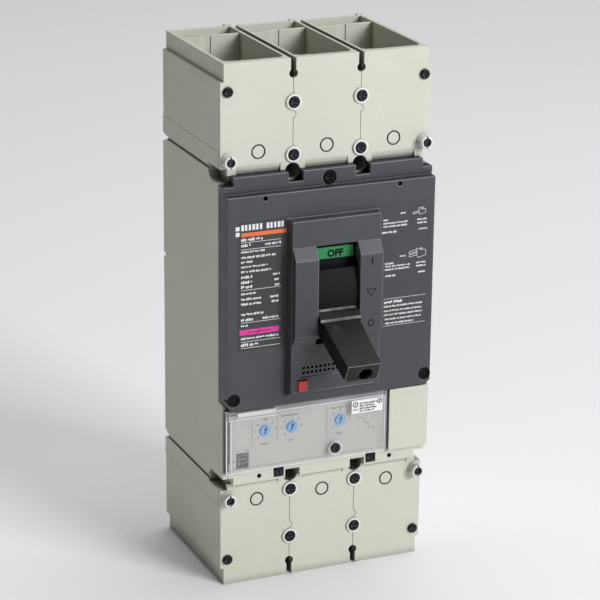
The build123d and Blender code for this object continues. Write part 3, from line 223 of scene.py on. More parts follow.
def crevice_shade_mask(tree):
    """Painted shade: how deep a point lies in a groove, hole or corner, from 0 in the open to 1."""
    node = tree.nodes.new("ShaderNodeAmbientOcclusion")
    node.samples = 8
    node.inputs["Distance"].default_value = CREVICE_REACH * MM
    return remap(tree, node.outputs["AO"], 0.72, 0.18, 0.0, 1.0)


def bump(tree, height, distance, strength, normal):
    """Normal bent by a height; distance is the relief in millimetres."""
    node = tree.nodes.new("ShaderNodeBump")
    node.inputs["Distance"].default_value = distance * MM
    node.inputs["Strength"].default_value = strength
    tree.links.new(height, node.inputs["Height"])
    if normal is not None:
        tree.links.new(normal, node.inputs["Normal"])
    return node.outputs["Normal"]


# ---------------------------------------------------------------- materials
def plastic(name, colour, roughness, edge_radius=0.5, edge_highlight=1.25, mottling=0.05, specular=0.5, crevice_shade=0.25):
    """Moulded plastic: spark-eroded grain, faint flow mottling, a painted highlight on edges facing the lamps
    and painted shade in the crevices.
    """
    material, tree, shader = new_material(name)
    normal, edge = rounded_normal(tree, edge_radius)
    fine = noise(tree, GRAIN, 2.0)
    flow = noise(tree, 14.0, 4.0, (1, 1, 0.35))
    smudge = noise(tree, 60.0, 5.0)
    mottled = mix_colours(tree, remap(tree, flow, 0.35, 0.65, 0, 1),
                          shade(colour, 1 - mottling), shade(colour, 1 + mottling))
    speckled = mix_colours(tree, remap(tree, fine, 0.30, 0.62, 0.22, 0.0), mottled, shade(colour, 0.72))
    # painted highlight on the rounded edges, strongest where they face the lamps, patchy at random
    highlight_mask = math_node(tree, "MULTIPLY", edge, remap(tree, smudge, 0.3, 0.6, 0.35, 0.8))
    highlighted = mix_colours(tree, highlight_mask, speckled, shade(colour, edge_highlight))
    # painted shade darkens grooves, holes and corners
    crevice_shaded = mix_colours(tree, crevice_shade_mask(tree), highlighted, shade(colour, crevice_shade))
    tree.links.new(crevice_shaded, shader.inputs["Base Color"])
    spread = remap(tree, smudge, 0.3, 0.7, roughness - 0.06, roughness + 0.07)
    tree.links.new(spread, shader.inputs["Roughness"])
    tree.links.new(bump(tree, fine, GRAIN_DEPTH, 0.5, normal), shader.inputs["Normal"])
    shader.inputs["Specular IOR Level"].default_value = specular
    return material


def metal(name, colour, roughness, brush=(1, 1, 14), metallic=1.0, edge_radius=0.25, edge_highlight=1.4,
          specular=0.5):
    """Plated or bare metal: fine brushing, blotchy plating and a painted highlight on its edges, most on those
    facing up or right.
    """
    material, tree, shader = new_material(name)
    normal, edge = rounded_normal(tree, edge_radius)
    lines = noise(tree, 900.0, 2.0, brush)
    blotch = noise(tree, 120.0, 4.0)
    plated = mix_colours(tree, remap(tree, blotch, 0.35, 0.65, 0, 1), shade(colour, 0.86), shade(colour, 1.1))
    # painted highlight on the edges, strongest where they face the lamps
    bright = mix_colours(tree, math_node(tree, "MULTIPLY", edge, 0.6), plated, shade(colour, edge_highlight))
    tree.links.new(bright, shader.inputs["Base Color"])
    spread = remap(tree, blotch, 0.3, 0.7, roughness - 0.07, roughness + 0.1)
    tree.links.new(spread, shader.inputs["Roughness"])
    tree.links.new(bump(tree, lines, SCRATCH_DEPTH, 0.4, normal), shader.inputs["Normal"])
    shader.inputs["Metallic"].default_value = metallic
    shader.inputs["Specular IOR Level"].default_value = specular
    return material


def ink(name, colour, roughness=0.5, speckle=0.12, specular=0.4):
    """Screen-printed ink, slightly uneven in cover and gloss."""
    material, tree, shader = new_material(name)
    cover = noise(tree, 2200.0, 2.0)
    uneven = mix_colours(tree, remap(tree, cover, 0.3, 0.7, 0, 1), shade(colour, 1 - speckle), colour)
    tree.links.new(uneven, shader.inputs["Base Color"])
    spread = remap(tree, cover, 0.3, 0.7, roughness - 0.08, roughness + 0.08)
    tree.links.new(spread, shader.inputs["Roughness"])
    tree.links.new(bump(tree, cover, 0.01, 0.3, None), shader.inputs["Normal"])
    shader.inputs["Specular IOR Level"].default_value = specular
    return material


def clear_plastic(name, tint, bevel_reflection, edge_highlight):
    """Clear moulding: nearly open on its flat faces, with a painted reflection on its front bevels that face
    up or right and a painted glint along its edges.
    """
    material, tree, shader = new_material(name)
    geometry = tree.nodes.new("ShaderNodeNewGeometry")
    split = tree.nodes.new("ShaderNodeSeparateXYZ")
    tree.links.new(geometry.outputs["Normal"], split.inputs["Vector"])
    # front bevels facing up or right get a painted reflection, the edges a painted glint, both more opaque
    # than the faces
    sideways = math_node(tree, "MAXIMUM", split.outputs["X"], split.outputs["Z"])
    forward = remap(tree, split.outputs["Y"], -0.2, -0.4, 0.0, 1.0)
    reflecting_bevels = math_node(tree, "MULTIPLY", remap(tree, sideways, 0.3, 0.5, 0.0, 1.0), forward)
    edge_glint = bevel_turn(tree, LID_EDGE_RADIUS)[1]
    swirl = noise(tree, 45.0, 4.0)
    cloudy = mix_colours(tree, remap(tree, swirl, 0.35, 0.65, 0, 1), shade(tint, 0.92), tint)
    flat = mix_colours(tree, reflecting_bevels, cloudy, bevel_reflection)
    tree.links.new(mix_colours(tree, edge_glint, flat, edge_highlight), shader.inputs["Base Color"])
    open_alpha = remap(tree, swirl, 0.3, 0.7, LID_ALPHA - 0.02, LID_ALPHA + 0.03)
    bevel_part = math_node(tree, "MULTIPLY", reflecting_bevels, LID_BEVEL_ALPHA - LID_ALPHA)
    edge_part = math_node(tree, "MULTIPLY", edge_glint, LID_EDGE_ALPHA - LID_ALPHA)
    extra = math_node(tree, "MAXIMUM", bevel_part, edge_part)
    tree.links.new(math_node(tree, "ADD", open_alpha, extra), shader.inputs["Alpha"])
    tree.links.new(remap(tree, swirl, 0.3, 0.7, 0.08, 0.2), shader.inputs["Roughness"])
    tree.links.new(bump(tree, swirl, 0.03, 0.2, None), shader.inputs["Normal"])
    shader.inputs["Specular IOR Level"].default_value = 0.3
    return material


def handle_plastic(name, colour, roughness, edge_highlight_colour, specular):
    """Glossy moulding with scuffed faces; the rounded edges between its flat faces get a painted highlight,
    and its hollows painted shade.
    """
    material, tree, shader = new_material(name)
    coords = tree.nodes.new("ShaderNodeTexCoord")
    squareness = 0.0
    lean = math.radians(HANDLE_LEAN)
    across = (1.0, 0.0, 0.0)
    lengthways = (0.0, math.cos(lean), math.sin(lean))
    upward = (0.0, -math.sin(lean), math.cos(lean))
    for axis in (across, lengthways, upward):
        facing = tree.nodes.new("ShaderNodeVectorMath")
        facing.operation = "DOT_PRODUCT"
        tree.links.new(coords.outputs["Normal"], facing.inputs[0])
        facing.inputs[1].default_value = axis
        parallel = math_node(tree, "ABSOLUTE", facing.outputs["Value"], 0.0)
        squareness = math_node(tree, "MAXIMUM", squareness, parallel)
    # rounded edges between the flat faces get a painted highlight
    edge = remap(tree, squareness, 0.975, 0.90, 0.0, 1.0)
    scuff = noise(tree, 260.0, 6.0, (1, 0.25, 1))
    patchy = noise(tree, 70.0, 4.0)
    worn = mix_colours(tree, remap(tree, scuff, 0.52, 0.75, 0.0, 0.55), colour, shade(colour, 6.0))
    # painted shade in the hollows, which also keeps the painted edge highlight out of them
    hollow_shade = crevice_shade_mask(tree)
    outer_edge = math_node(tree, "MULTIPLY", edge, remap(tree, hollow_shade, 0.0, 0.25, 1.0, 0.0))
    highlighted = math_node(tree, "MULTIPLY", outer_edge, remap(tree, patchy, 0.32, 0.58, 0.25, 1.0))
    bright = mix_colours(tree, highlighted, worn, edge_highlight_colour)
    tree.links.new(mix_colours(tree, hollow_shade, bright, shade(colour, 0.2)), shader.inputs["Base Color"])
    spread = remap(tree, scuff, 0.3, 0.7, roughness - 0.06, roughness + 0.14)
    tree.links.new(spread, shader.inputs["Roughness"])
    tree.links.new(bump(tree, scuff, 0.04, 0.5, None), shader.inputs["Normal"])
    shader.inputs["Specular IOR Level"].default_value = specular
    return material


LIGHT_GREY = (0.625, 0.63, 0.525)
DARK_GREY = (0.042, 0.044, 0.050)
BLACK = (0.009, 0.009, 0.010)

# the edge factor gives rounded edges a painted highlight; the crevice factor is the colour of painted shade in
# grooves and holes, none at 1.0
MATERIALS = {
    "light_plastic": plastic("light_plastic", LIGHT_GREY, 0.46, edge_highlight=1.5, mottling=0.025, crevice_shade=0.16),
    "cover_plastic": plastic("cover_plastic", DARK_GREY, 0.42, edge_radius=0.9, edge_highlight=11.0, mottling=0.05,
                             specular=0.55),
    "black_plastic": plastic("black_plastic", BLACK, 0.34, edge_radius=0.6, edge_highlight=20.0, mottling=0.1,
                             specular=0.28),
    "screw_black": metal("screw_black", (0.008, 0.008, 0.009), 0.26, metallic=0.0, edge_radius=0.5,
                         edge_highlight=45.0, specular=0.18),
    "zinc_screw": metal("zinc_screw", (0.30, 0.30, 0.31), 0.36),
    "trip_grey": plastic("trip_grey", (0.485, 0.48, 0.44), 0.55, edge_highlight=1.1, mottling=0.02, crevice_shade=1.0),
    "clear_lid": clear_plastic("clear_lid", (0.80, 0.79, 0.75), (0.20, 0.20, 0.25), (0.82, 0.82, 0.86)),
    "white_label": ink("white_label", (0.86, 0.86, 0.84), 0.4, 0.05),
    "dial_blue": plastic("dial_blue", (0.14, 0.39, 0.72), 0.22, edge_highlight=1.8, mottling=0.1, crevice_shade=1.0),
    "red_plastic": plastic("red_plastic", (0.58, 0.035, 0.030), 0.3, edge_highlight=1.3, mottling=0.05),
    "flag_green": plastic("flag_green", (0.035, 0.30, 0.10), 0.4, edge_highlight=1.2, mottling=0.05),
    "steel": metal("steel", (0.46, 0.46, 0.46), 0.34, brush=(1, 12, 1)),
    "spring_steel": metal("spring_steel", (0.36, 0.36, 0.37), 0.3),
    "copper": metal("copper", (0.72, 0.34, 0.20), 0.32, brush=(12, 1, 1)),
    "silver": metal("silver", (0.80, 0.79, 0.76), 0.28),
    "tinned": metal("tinned", (0.40, 0.41, 0.42), 0.42, brush=(12, 1, 1)),
    "rotor_plastic": plastic("rotor_plastic", (0.28, 0.23, 0.17), 0.6, mottling=0.1),
    "board_green": plastic("board_green", (0.02, 0.17, 0.06), 0.45, mottling=0.1),
}

# nodes that look different from the rest of their slot; their edge factors and the handle's edge colour give
# painted highlights
NODE_LOOKS = {
    "seam_screw_collars": plastic("collar_white", (0.80, 0.80, 0.76), 0.35, edge_highlight=1.2, mottling=0.02),
    "sealing_screws": plastic("sealing_white", (0.78, 0.78, 0.74), 0.25, edge_highlight=1.25, mottling=0.03),
    "label_bar": plastic("bar_white", (0.66, 0.66, 0.62), 0.3, edge_radius=0.4, edge_highlight=1.4, mottling=0.02,
                         crevice_shade=1.0),
    "test_connector": plastic("socket_grey", (0.20, 0.20, 0.19), 0.5, mottling=0.1, crevice_shade=0.6),
    "shutter": plastic("shutter_black", BLACK, 0.62, edge_highlight=6.0, mottling=0.2, specular=0.12),
    "handle": handle_plastic("handle_black", shade(BLACK, 0.7), 0.34, (0.30, 0.30, 0.29), 0.22),
    "cover_screw": metal("cover_screw_black", (0.004, 0.004, 0.004), 0.42, metallic=0.0, edge_radius=0.35,
                         edge_highlight=70.0, specular=0.07),
    "cover_plugs": plastic("plug_black", shade(BLACK, 0.6), 0.5, edge_radius=0.4, edge_highlight=8.0,
                           specular=0.1),
}

PRINTS = {
    "white": ink("print_white", (0.80, 0.80, 0.78)),
    "orange": ink("print_orange", (0.83, 0.17, 0.045)),
    "magenta": ink("print_magenta", (0.74, 0.045, 0.33)),
    "black": ink("print_black", (0.006, 0.006, 0.006), specular=0.08),
    "grey": ink("print_grey", (0.05, 0.05, 0.05), specular=0.2),
    "soft_grey": ink("print_soft_grey", (0.20, 0.20, 0.195)),
    "pale_blue": ink("print_pale_blue", (0.20, 0.47, 0.86)),
    "purple": ink("print_purple", (0.06, 0.05, 0.12)),
    # painted glint for the lid's rims
    "painted_glint": ink("print_painted_glint", (0.80, 0.80, 0.82), 0.25),
    "green": ink("print_green", (0.022, 0.25, 0.075)),
    "red": ink("print_red", (0.60, 0.03, 0.025)),
    "left_film": ink("print_left_film", (0.040, 0.040, 0.043), 0.34),
    "right_film": ink("print_right_film", (0.050, 0.052, 0.057), 0.34),
    "gloss_black": ink("gloss_black", (0.008, 0.008, 0.008), 0.18),
}

for entry in frame["record"]["subparts"]:
    node = frame["nodes"][entry["node"]]
    node.data.materials.clear()
    node.data.materials.append(NODE_LOOKS.get(entry["node"], MATERIALS[entry["material_slot"]]))


# ---------------------------------------------------------------- mesh helpers
def middle(name):
    """Centre (x, z) of a CAD node at rest, in millimetres."""
    low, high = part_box(name)
    return (low[0] + high[0]) / 2 / MM, (low[2] + high[2]) / 2 / MM


def circle(x, z, radius, steps):
    """Points round a centre, for an outline."""
    turns = [2 * math.pi * step / steps for step in range(steps)]
    return [(x + radius * math.cos(turn), z + radius * math.sin(turn)) for turn in turns]


def piece(name, mesh, material, body):
    """Links a finished bmesh as one named piece that rides on a CAD body."""
    bmesh.ops.recalc_face_normals(mesh, faces=mesh.faces)
    data = bpy.data.meshes.new(name)
    mesh.to_mesh(data)
    mesh.free()
    data.materials.append(material)
    thing = bpy.data.objects.new(name, data)
    bpy.context.scene.collection.objects.link(thing)
    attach(thing, body)
    return thing


def add_prism(mesh, outline, y_front, y_back):
    """Closed prism along Y from an outline of (x, z) points, in millimetres."""
    front = [mesh.verts.new((x * MM, y_front * MM, z * MM)) for x, z in outline]
    back = [mesh.verts.new((x * MM, y_back * MM, z * MM)) for x, z in outline]
    mesh.faces.new(front)
    mesh.faces.new(back[::-1])
    count = len(outline)
    for index in range(count):
        after = (index + 1) % count
        mesh.faces.new((front[index], back[index], back[after], front[after]))


def add_bar(mesh, x0, x1, z0, z1, surface, thickness=PRINT):
    """Upright rectangle that stands on a surface facing -Y."""
    add_prism(mesh, [(x0, z0), (x1, z0), (x1, z1), (x0, z1)], surface - thickness, surface)


def add_stroke(mesh, start, end, width, surface):
    """Thin straight line between two (x, z) points."""
    along = Vector(end) - Vector(start)
    side = Vector((-along.y, along.x)).normalized() * width / 2
    outline = [Vector(start) + side, Vector(end) + side, Vector(end) - side, Vector(start) - side]
    add_prism(mesh, [tuple(point) for point in outline], surface - PRINT, surface)


def add_ring(mesh, x, z, outer, inner, surface, steps=32):
    """Flat printed ring, as short trapezoids side by side."""
    for step in range(steps):
        angles = [2 * math.pi * (step + k) / steps for k in (0, 1)]
        outline = [(x + outer * math.cos(a), z + outer * math.sin(a)) for a in angles]
        outline += [(x + inner * math.cos(a), z + inner * math.sin(a)) for a in reversed(angles)]
        add_prism(mesh, outline, surface - PRINT, surface)


def add_words(mesh, rng, x0, x1, z0, height, surface):
    """A line of unreadable print: word-long runs of letter-wide blocks."""
    x = x0
    pitch = height * LETTER_PITCH
    while x < x1 - pitch * 0.5:
        for _ in range(rng.randint(2, 7)):
            if x + pitch * 0.75 > x1:
                break
            low = z0 + (0.0 if rng.random() < 0.8 else height * 0.28)
            high = z0 + height * (1.0 if rng.random() < 0.5 else 0.78)
            add_bar(mesh, x, x + pitch * 0.8, low, max(high, low + height * 0.3), surface)
            x += pitch
        x += pitch * 0.7


def add_title(mesh, x0, x1, z0, height, surface):
    """Two words of plain upright bars, where a large name would stand."""
    gap = 0.8
    pitch = (x1 - x0) / (sum(TITLE_WORDS) + gap)
    x = x0
    for count in TITLE_WORDS:
        for index in range(count):
            wide = 0.62 if index % 3 else 0.74
            add_bar(mesh, x, x + pitch * wide, z0, z0 + height, surface)
            x += pitch
        x += pitch * gap


# ---------------------------------------------------------------- prints on the cover
# rows of print: height above the origin, letter height, left end, right end
LABEL_LEFT, LABEL_RIGHT = -60.8, -34.6
LEFT_ROWS = (
    (62.0, 1.9, LABEL_LEFT, -46.2), (58.5, 1.8, LABEL_LEFT, -54.2), (58.2, 1.5, -45.0, LABEL_RIGHT),
    (54.6, 1.2, LABEL_LEFT, -44.8), (51.0, 1.4, LABEL_LEFT, -38.0), (48.1, 1.4, LABEL_LEFT, -52.8),
    (45.1, 1.2, LABEL_LEFT, -43.4), (41.9, 1.3, LABEL_LEFT, -40.7), (38.3, 1.8, LABEL_LEFT, -52.8),
    (38.4, 1.6, -39.8, LABEL_RIGHT), (35.0, 1.8, LABEL_LEFT, -52.7), (34.9, 1.7, -38.9, LABEL_RIGHT),
    (31.9, 1.8, LABEL_LEFT, -52.7), (31.5, 1.7, -38.5, LABEL_RIGHT), (27.8, 1.2, LABEL_LEFT, -50.7),
    (24.2, 1.5, LABEL_LEFT, -47.3), (24.0, 1.5, -41.5, LABEL_RIGHT), (21.0, 1.5, LABEL_LEFT, -47.3),
    (20.9, 1.5, -40.5, LABEL_RIGHT), (14.4, 1.6, LABEL_LEFT, -45.2), (10.8, 1.7, LABEL_LEFT, -52.6),
    (10.8, 1.5, -46.5, -35.4), (7.2, 1.3, LABEL_LEFT, -55.9), (-1.2, 1.4, LABEL_LEFT, -35.4),
    (-5.7, 2.0, LABEL_LEFT, -48.4),
)
LEFT_RULES = (61.0, 56.6, 30.6, 9.6, -2.8, -6.9)
LEFT_RULE_WIDTH = 0.28
TITLE_Z, TITLE_HEIGHT = 68.7, 3.7
RIGHT_ROWS = (
    (64.3, 1.1, 34.2, 38.4), (62.2, 1.1, 34.2, 51.8), (60.1, 1.1, 34.2, 50.8), (56.2, 1.3, 33.4, 43.5),
    (62.5, 1.1, 57.6, 64.4), (60.3, 1.1, 57.6, 64.4), (56.3, 1.1, 58.7, 64.6), (67.9, 1.0, 45.8, 49.6),
    (35.8, 1.1, 35.9, 42.2), (33.9, 1.1, 35.9, 53.6), (31.9, 1.1, 35.9, 53.0), (27.6, 1.3, 36.4, 43.8),
    (34.3, 1.1, 57.5, 64.3), (32.1, 1.1, 57.6, 64.3), (28.0, 1.1, 59.1, 64.5), (39.8, 1.0, 46.0, 50.1),
    (9.9, 1.9, 35.8, 48.2), (7.5, 1.1, 35.8, 63.4), (4.6, 1.1, 35.8, 63.3), (1.9, 1.1, 35.9, 62.7),
    (-0.9, 1.1, 36.7, 61.7), (-3.7, 1.1, 37.1, 56.4),
)
RIGHT_RULES = (13.0, -4.9)
RIGHT_RULE_WIDTH = 0.24
RIGHT_RULE_ENDS = (35.6, 64.8)
LUG_PEN = 0.28               # line width of the lug drawings
MARK_PEN = 0.35              # and of the mark on the pink stripe


def label_film(name, corners, material):
    """Thin film of a label on the cover; gives the surface to print on."""
    film = bmesh.new()
    add_bar(film, *corners, FACE_Y, FILM)
    piece(name, film, material, "breaker")
    return FACE_Y - FILM


def add_rows(mesh, rng, rows, surface):
    """Rows of unreadable print on a surface."""
    for z, height, x0, x1 in rows:
        add_words(mesh, rng, x0, x1, z, height, surface)


def left_label():
    """Rating label beside the nose: rows of unreadable print, rules, an orange and a pink stripe."""
    rng = random.Random(LEFT_SEED)
    surface = label_film("left_label_film", (-63.2, -31.8, -8.6, 74.2), PRINTS["left_film"])
    white = bmesh.new()
    add_title(white, LABEL_LEFT, LABEL_RIGHT + 2.6, TITLE_Z, TITLE_HEIGHT, surface)
    add_rows(white, rng, LEFT_ROWS, surface)
    for z in LEFT_RULES:
        add_bar(white, LABEL_LEFT, LABEL_RIGHT, z, z + LEFT_RULE_WIDTH, surface)
    # two plain squares where the maker's sign would be
    for z0, z1 in ((69.0, 71.6), (65.4, 68.0)):
        add_bar(white, -64.4, -61.9, z0, z1, FACE_Y)
    piece("left_label_print", white, PRINTS["white"], "breaker")
    for name, corners, colour in (("left_label_orange", (-60.7, -30.6, 64.8, 67.3), "orange"),
                                  ("left_label_pink", (-61.7, -35.5, 1.7, 5.2), "magenta")):
        stripe = bmesh.new()
        add_bar(stripe, *corners, surface)
        piece(name, stripe, PRINTS[colour], "breaker")
    mark = bmesh.new()
    for start, end in (((-56.2, 3.3), (-41.0, 3.3)), ((-50.6, 2.3), (-47.6, 4.6))):
        add_stroke(mark, start, end, MARK_PEN, surface - PRINT)
    piece("left_label_mark", mark, PRINTS["black"], "breaker")


def lug_drawing(mesh, x, z, width, height, holes, surface):
    """Small line drawing of a cable lug: a block in outline with its cable ends."""
    corners = [(x + width * 0.45, z + height), (x + width, z + height * 0.75), (x + width, z + height * 0.2),
               (x + width * 0.55, z), (x + width * 0.45, z + height * 0.25)]
    for start, end in zip(corners, corners[1:] + corners[:1]):
        add_stroke(mesh, start, end, LUG_PEN, surface)
    for hole in range(holes):
        level = z + height * (0.15 + 0.35 * hole)
        add_stroke(mesh, (x, level), (x + width * 0.5, level + height * 0.18), LUG_PEN, surface)
        add_stroke(mesh, (x, level + height * 0.22), (x + width * 0.5, level + height * 0.4), LUG_PEN, surface)
        add_stroke(mesh, (x, level), (x, level + height * 0.22), LUG_PEN, surface)
    add_ring(mesh, x + width * 0.72, z + height * 0.9, 0.9, 0.62, surface, steps=16)


def right_label():
    """Terminal label on the other side: rows of unreadable print, two rules and two lug drawings."""
    rng = random.Random(RIGHT_SEED)
    surface = label_film("right_label_film", (32.4, 67.2, -7.2, 75.5), PRINTS["right_film"])
    white = bmesh.new()
    add_rows(white, rng, RIGHT_ROWS, surface)
    for z in RIGHT_RULES:
        add_bar(white, *RIGHT_RULE_ENDS, z, z + RIGHT_RULE_WIDTH, surface)
    lug_drawing(white, 54.6, 66.2, 8.6, 4.4, 1, surface)
    lug_drawing(white, 52.6, 38.0, 11.4, 6.2, 2, surface)
    piece("right_label_print", white, PRINTS["white"], "breaker")


def rail_marks():
    """I, an arrow head and O on the right-hand rail."""
    marks = bmesh.new()
    add_bar(marks, 21.5, 22.4, 41.4, 45.8, RAIL_Y)
    triangle = [(18.6, 25.2), (24.6, 25.2), (21.6, 20.9)]
    for start, end in zip(triangle, triangle[1:] + triangle[:1]):
        add_stroke(marks, start, end, 0.5, RAIL_Y)
    add_ring(marks, 22.0, 3.1, 2.2, 1.55, RAIL_Y)
    piece("rail_marks", marks, PRINTS["black"], "breaker")


# ---------------------------------------------------------------- prints on the trip unit
PLATE_RULES = ((-50.8, -75.6, -57.4), (-33.4, -75.4, -57.2), (0.4, -76.0, -56.4))    # x, lower end, upper end
PLATE_ROWS = (
    (-75.4, 1.1, -44.6, -38.6), (-75.4, 1.1, -26.0, -21.2), (-75.8, 1.1, 7.0, 11.4),
    (-58.6, 1.0, -43.6, -40.0), (-58.4, 1.1, -31.0, -18.8), (-58.2, 1.1, 2.4, 14.6),
    (-84.6, 1.0, -64.0, -62.0), (-77.4, 1.0, -60.8, -59.4), (-77.6, 1.0, -55.6, -53.2),
)
# stepped time-current curve, drawn as the three zones of the trip unit
TRIP_CURVE = ((21.8, -66.6), (26.0, -66.9), (26.4, -70.6), (29.6, -71.0), (29.8, -74.6), (34.4, -74.9))


def trip_plate_print():
    """Rules, small print and the tripping curve on the trip unit's face plate."""
    rng = random.Random(PLATE_SEED)
    grey = bmesh.new()
    for x, z0, z1 in PLATE_RULES:
        add_bar(grey, x - 0.15, x + 0.15, z0, z1, PLATE_Y)
    add_rows(grey, rng, PLATE_ROWS, PLATE_Y)
    add_ring(grey, -64.4, -53.0, 0.9, 0.1, PLATE_Y, steps=16)
    piece("trip_plate_print", grey, PRINTS["soft_grey"], "breaker")
    curve = bmesh.new()
    for start, end in zip(TRIP_CURVE, TRIP_CURVE[1:]):
        add_stroke(curve, start, end, 0.3, PLATE_Y)
    for x in (22.6, 28.2, 33.0):
        add_stroke(curve, (x, -64.8), (x, -77.4), 0.14, PLATE_Y)
    piece("trip_plate_curve", curve, PRINTS["soft_grey"], "breaker")


def dial_rays(places):
    """Blue rays on the plate round each dial."""
    rays = bmesh.new()
    for dial_x, dial_z in places:
        for step in range(RAY_COUNT):
            angle = 2 * math.pi * (step + 0.5) / RAY_COUNT
            start, end = [(dial_x + reach * math.cos(angle), dial_z + reach * math.sin(angle))
                          for reach in (RAY_START, RAY_END)]
            add_stroke(rays, start, end, RAY_WIDTH, PLATE_Y)
    piece("dial_rays", rays, PRINTS["pale_blue"], "breaker")


def dial_arrows(places):
    """Dark arrow in the slot of each dial, which turns with it."""
    lean = math.radians(ARROW_LEAN)
    along_x, along_z = math.sin(lean), math.cos(lean)
    for body, (dial_x, dial_z) in zip(DIAL_BODIES, places):
        tail, head = [(dial_x + reach * along_x, dial_z + reach * along_z)
                      for reach in (-ARROW_REACH, ARROW_REACH)]
        barb_x, barb_z = dial_x + BARB_PLACE * along_x, dial_z + BARB_PLACE * along_z
        left, right = [(barb_x + reach * along_z, barb_z - reach * along_x)
                       for reach in (-BARB_REACH, BARB_REACH)]
        arrow = bmesh.new()
        add_stroke(arrow, tail, head, ARROW_WIDTH, ARROW_FLOOR_Y)
        add_stroke(arrow, left, right, BARB_WIDTH, ARROW_FLOOR_Y - PRINT)
        piece("arrow_" + body, arrow, PRINTS["black"], body)


def dial_numbers(places):
    """Scale numbers round the dials; the only other lettering is on the flags."""
    texts = []
    for dial_x, dial_z in places:
        for step, word in enumerate(DIAL_SCALE):
            angle = math.radians(SCALE_START - SCALE_STEP * step)
            x, z = dial_x + SCALE_REACH_X * math.cos(angle), dial_z + SCALE_REACH_Z * math.sin(angle)
            texts.append((word, x, z, SCALE_HEIGHT))
    lettering("dial_numbers", texts, PLATE_Y, PRINTS["grey"], "breaker")


def dials():
    """Prints round and on the three dials."""
    places = [middle(name) for name in DIAL_NODES]
    dial_rays(places)
    dial_arrows(places)
    dial_numbers(places)


def lettering(name, texts, surface, material, body, weight=0.0):
    """Generic words or numbers as one thin mesh facing -Y: (word, x, z, height) for each."""
    upright = Matrix.Rotation(math.pi / 2, 4, "X")
    joined = bmesh.new()
    for word, x, z, height in texts:
        curve = bpy.data.curves.new(name + "_curve", "FONT")
        curve.body = word
        curve.size = height * MM * TEXT_SIZE
        curve.extrude = PRINT * MM / 2
        curve.offset = weight * MM
        curve.align_x = "CENTER"
        curve.align_y = "CENTER"
        curve.resolution_u = 4
        source = bpy.data.objects.new(name + "_source", curve)
        mesh = bpy.data.meshes.new_from_object(source)
        mesh.transform(Matrix.Translation((x * MM, (surface - PRINT / 2) * MM, z * MM)) @ upright)
        joined.from_mesh(mesh)
        bpy.data.objects.remove(source)
        bpy.data.curves.remove(curve)
        bpy.data.meshes.remove(mesh)
    return piece(name, joined, material, body)


def sticker_print():
    """Small print and two plain rings on the lid's sticker."""
    rng = random.Random(STICKER_SEED)
    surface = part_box("rating_sticker")[0][1] / MM
    lines = bmesh.new()
    for row in range(4):
        add_words(lines, rng, 21.4, 33.6 - 1.4 * (row % 2), -56.0 - 1.7 * row, 1.15, surface)
    for x, z, outer, inner in ((18.4, -55.9, 1.9, 1.3), (35.2, -55.2, 1.75, 1.2)):
        add_ring(lines, x, z, outer, inner, surface, steps=20)
        add_stroke(lines, (x - 0.6, z - 0.7), (x + 0.6, z + 0.7), 0.7, surface)
    add_words(lines, rng, 17.0, 20.4, -59.6, 0.9, surface)
    piece("sticker_print", lines, PRINTS["grey"], "lid")


def lid_lines():
    """Dark dashes down the lid's hinged edge, and painted highlight lines along its rims and round its screw's
    boss.
    """
    rng = random.Random(LID_SEED)
    low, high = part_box("trip_lid")
    left, right, bottom, top = low[0] / MM, high[0] / MM, low[2] / MM, high[2] / MM
    dashes = bmesh.new()
    z = top - 6.0
    while z > bottom + 9.0:
        length = rng.uniform(0.8, 2.2)
        add_bar(dashes, left + 1.7, left + 2.5, z - length, z, LID_Y)
        z -= length + 0.4
    piece("lid_strip_print", dashes, PRINTS["purple"], "lid")
    # painted highlight lines, each a little way in from an edge of the lid, and a painted highlight ring round
    # the screw's boss
    line = 0.55
    rim_glints = bmesh.new()
    add_bar(rim_glints, left + 0.1, left + 0.1 + line, bottom + 0.2, top - 5.2, LID_Y)
    add_bar(rim_glints, left + 3.3, left + 3.3 + line * 0.7, bottom + 1.6, top - 5.2, LID_Y)
    add_bar(rim_glints, left + 0.8, right - 3.0, bottom + 0.2, bottom + 0.2 + line, LID_Y)
    add_bar(rim_glints, right - 3.1, right - 3.1 + line * 0.8, bottom + 1.2, top - 2.6, LID_Y)
    add_bar(rim_glints, NOTCH_RIGHT + 0.3, right - 3.4, top - 2.9, top - 2.9 + line * 0.7, LID_Y)
    add_bar(rim_glints, NOTCH_LEFT - 6.0, NOTCH_RIGHT, top - 5.6, top - 5.6 + line * 0.7, LID_Y)
    screw_x, screw_z = middle("lid_screw")
    add_ring(rim_glints, screw_x, screw_z, 4.6, 4.3, BOSS_Y)
    piece("lid_rim_glints", rim_glints, PRINTS["painted_glint"], "lid")


def connector_pins():
    """Bright square pins in the three slots of the test connector."""
    half, front, back = 0.3, -103.6, -100.2
    pins = bmesh.new()
    for z in PIN_ROWS:
        for x in PIN_COLUMNS:
            outline = [(x - half, z - half), (x + half, z - half), (x + half, z + half), (x - half, z + half)]
            add_prism(pins, outline, front, back)
    piece("connector_pins", pins, MATERIALS["silver"], "breaker")


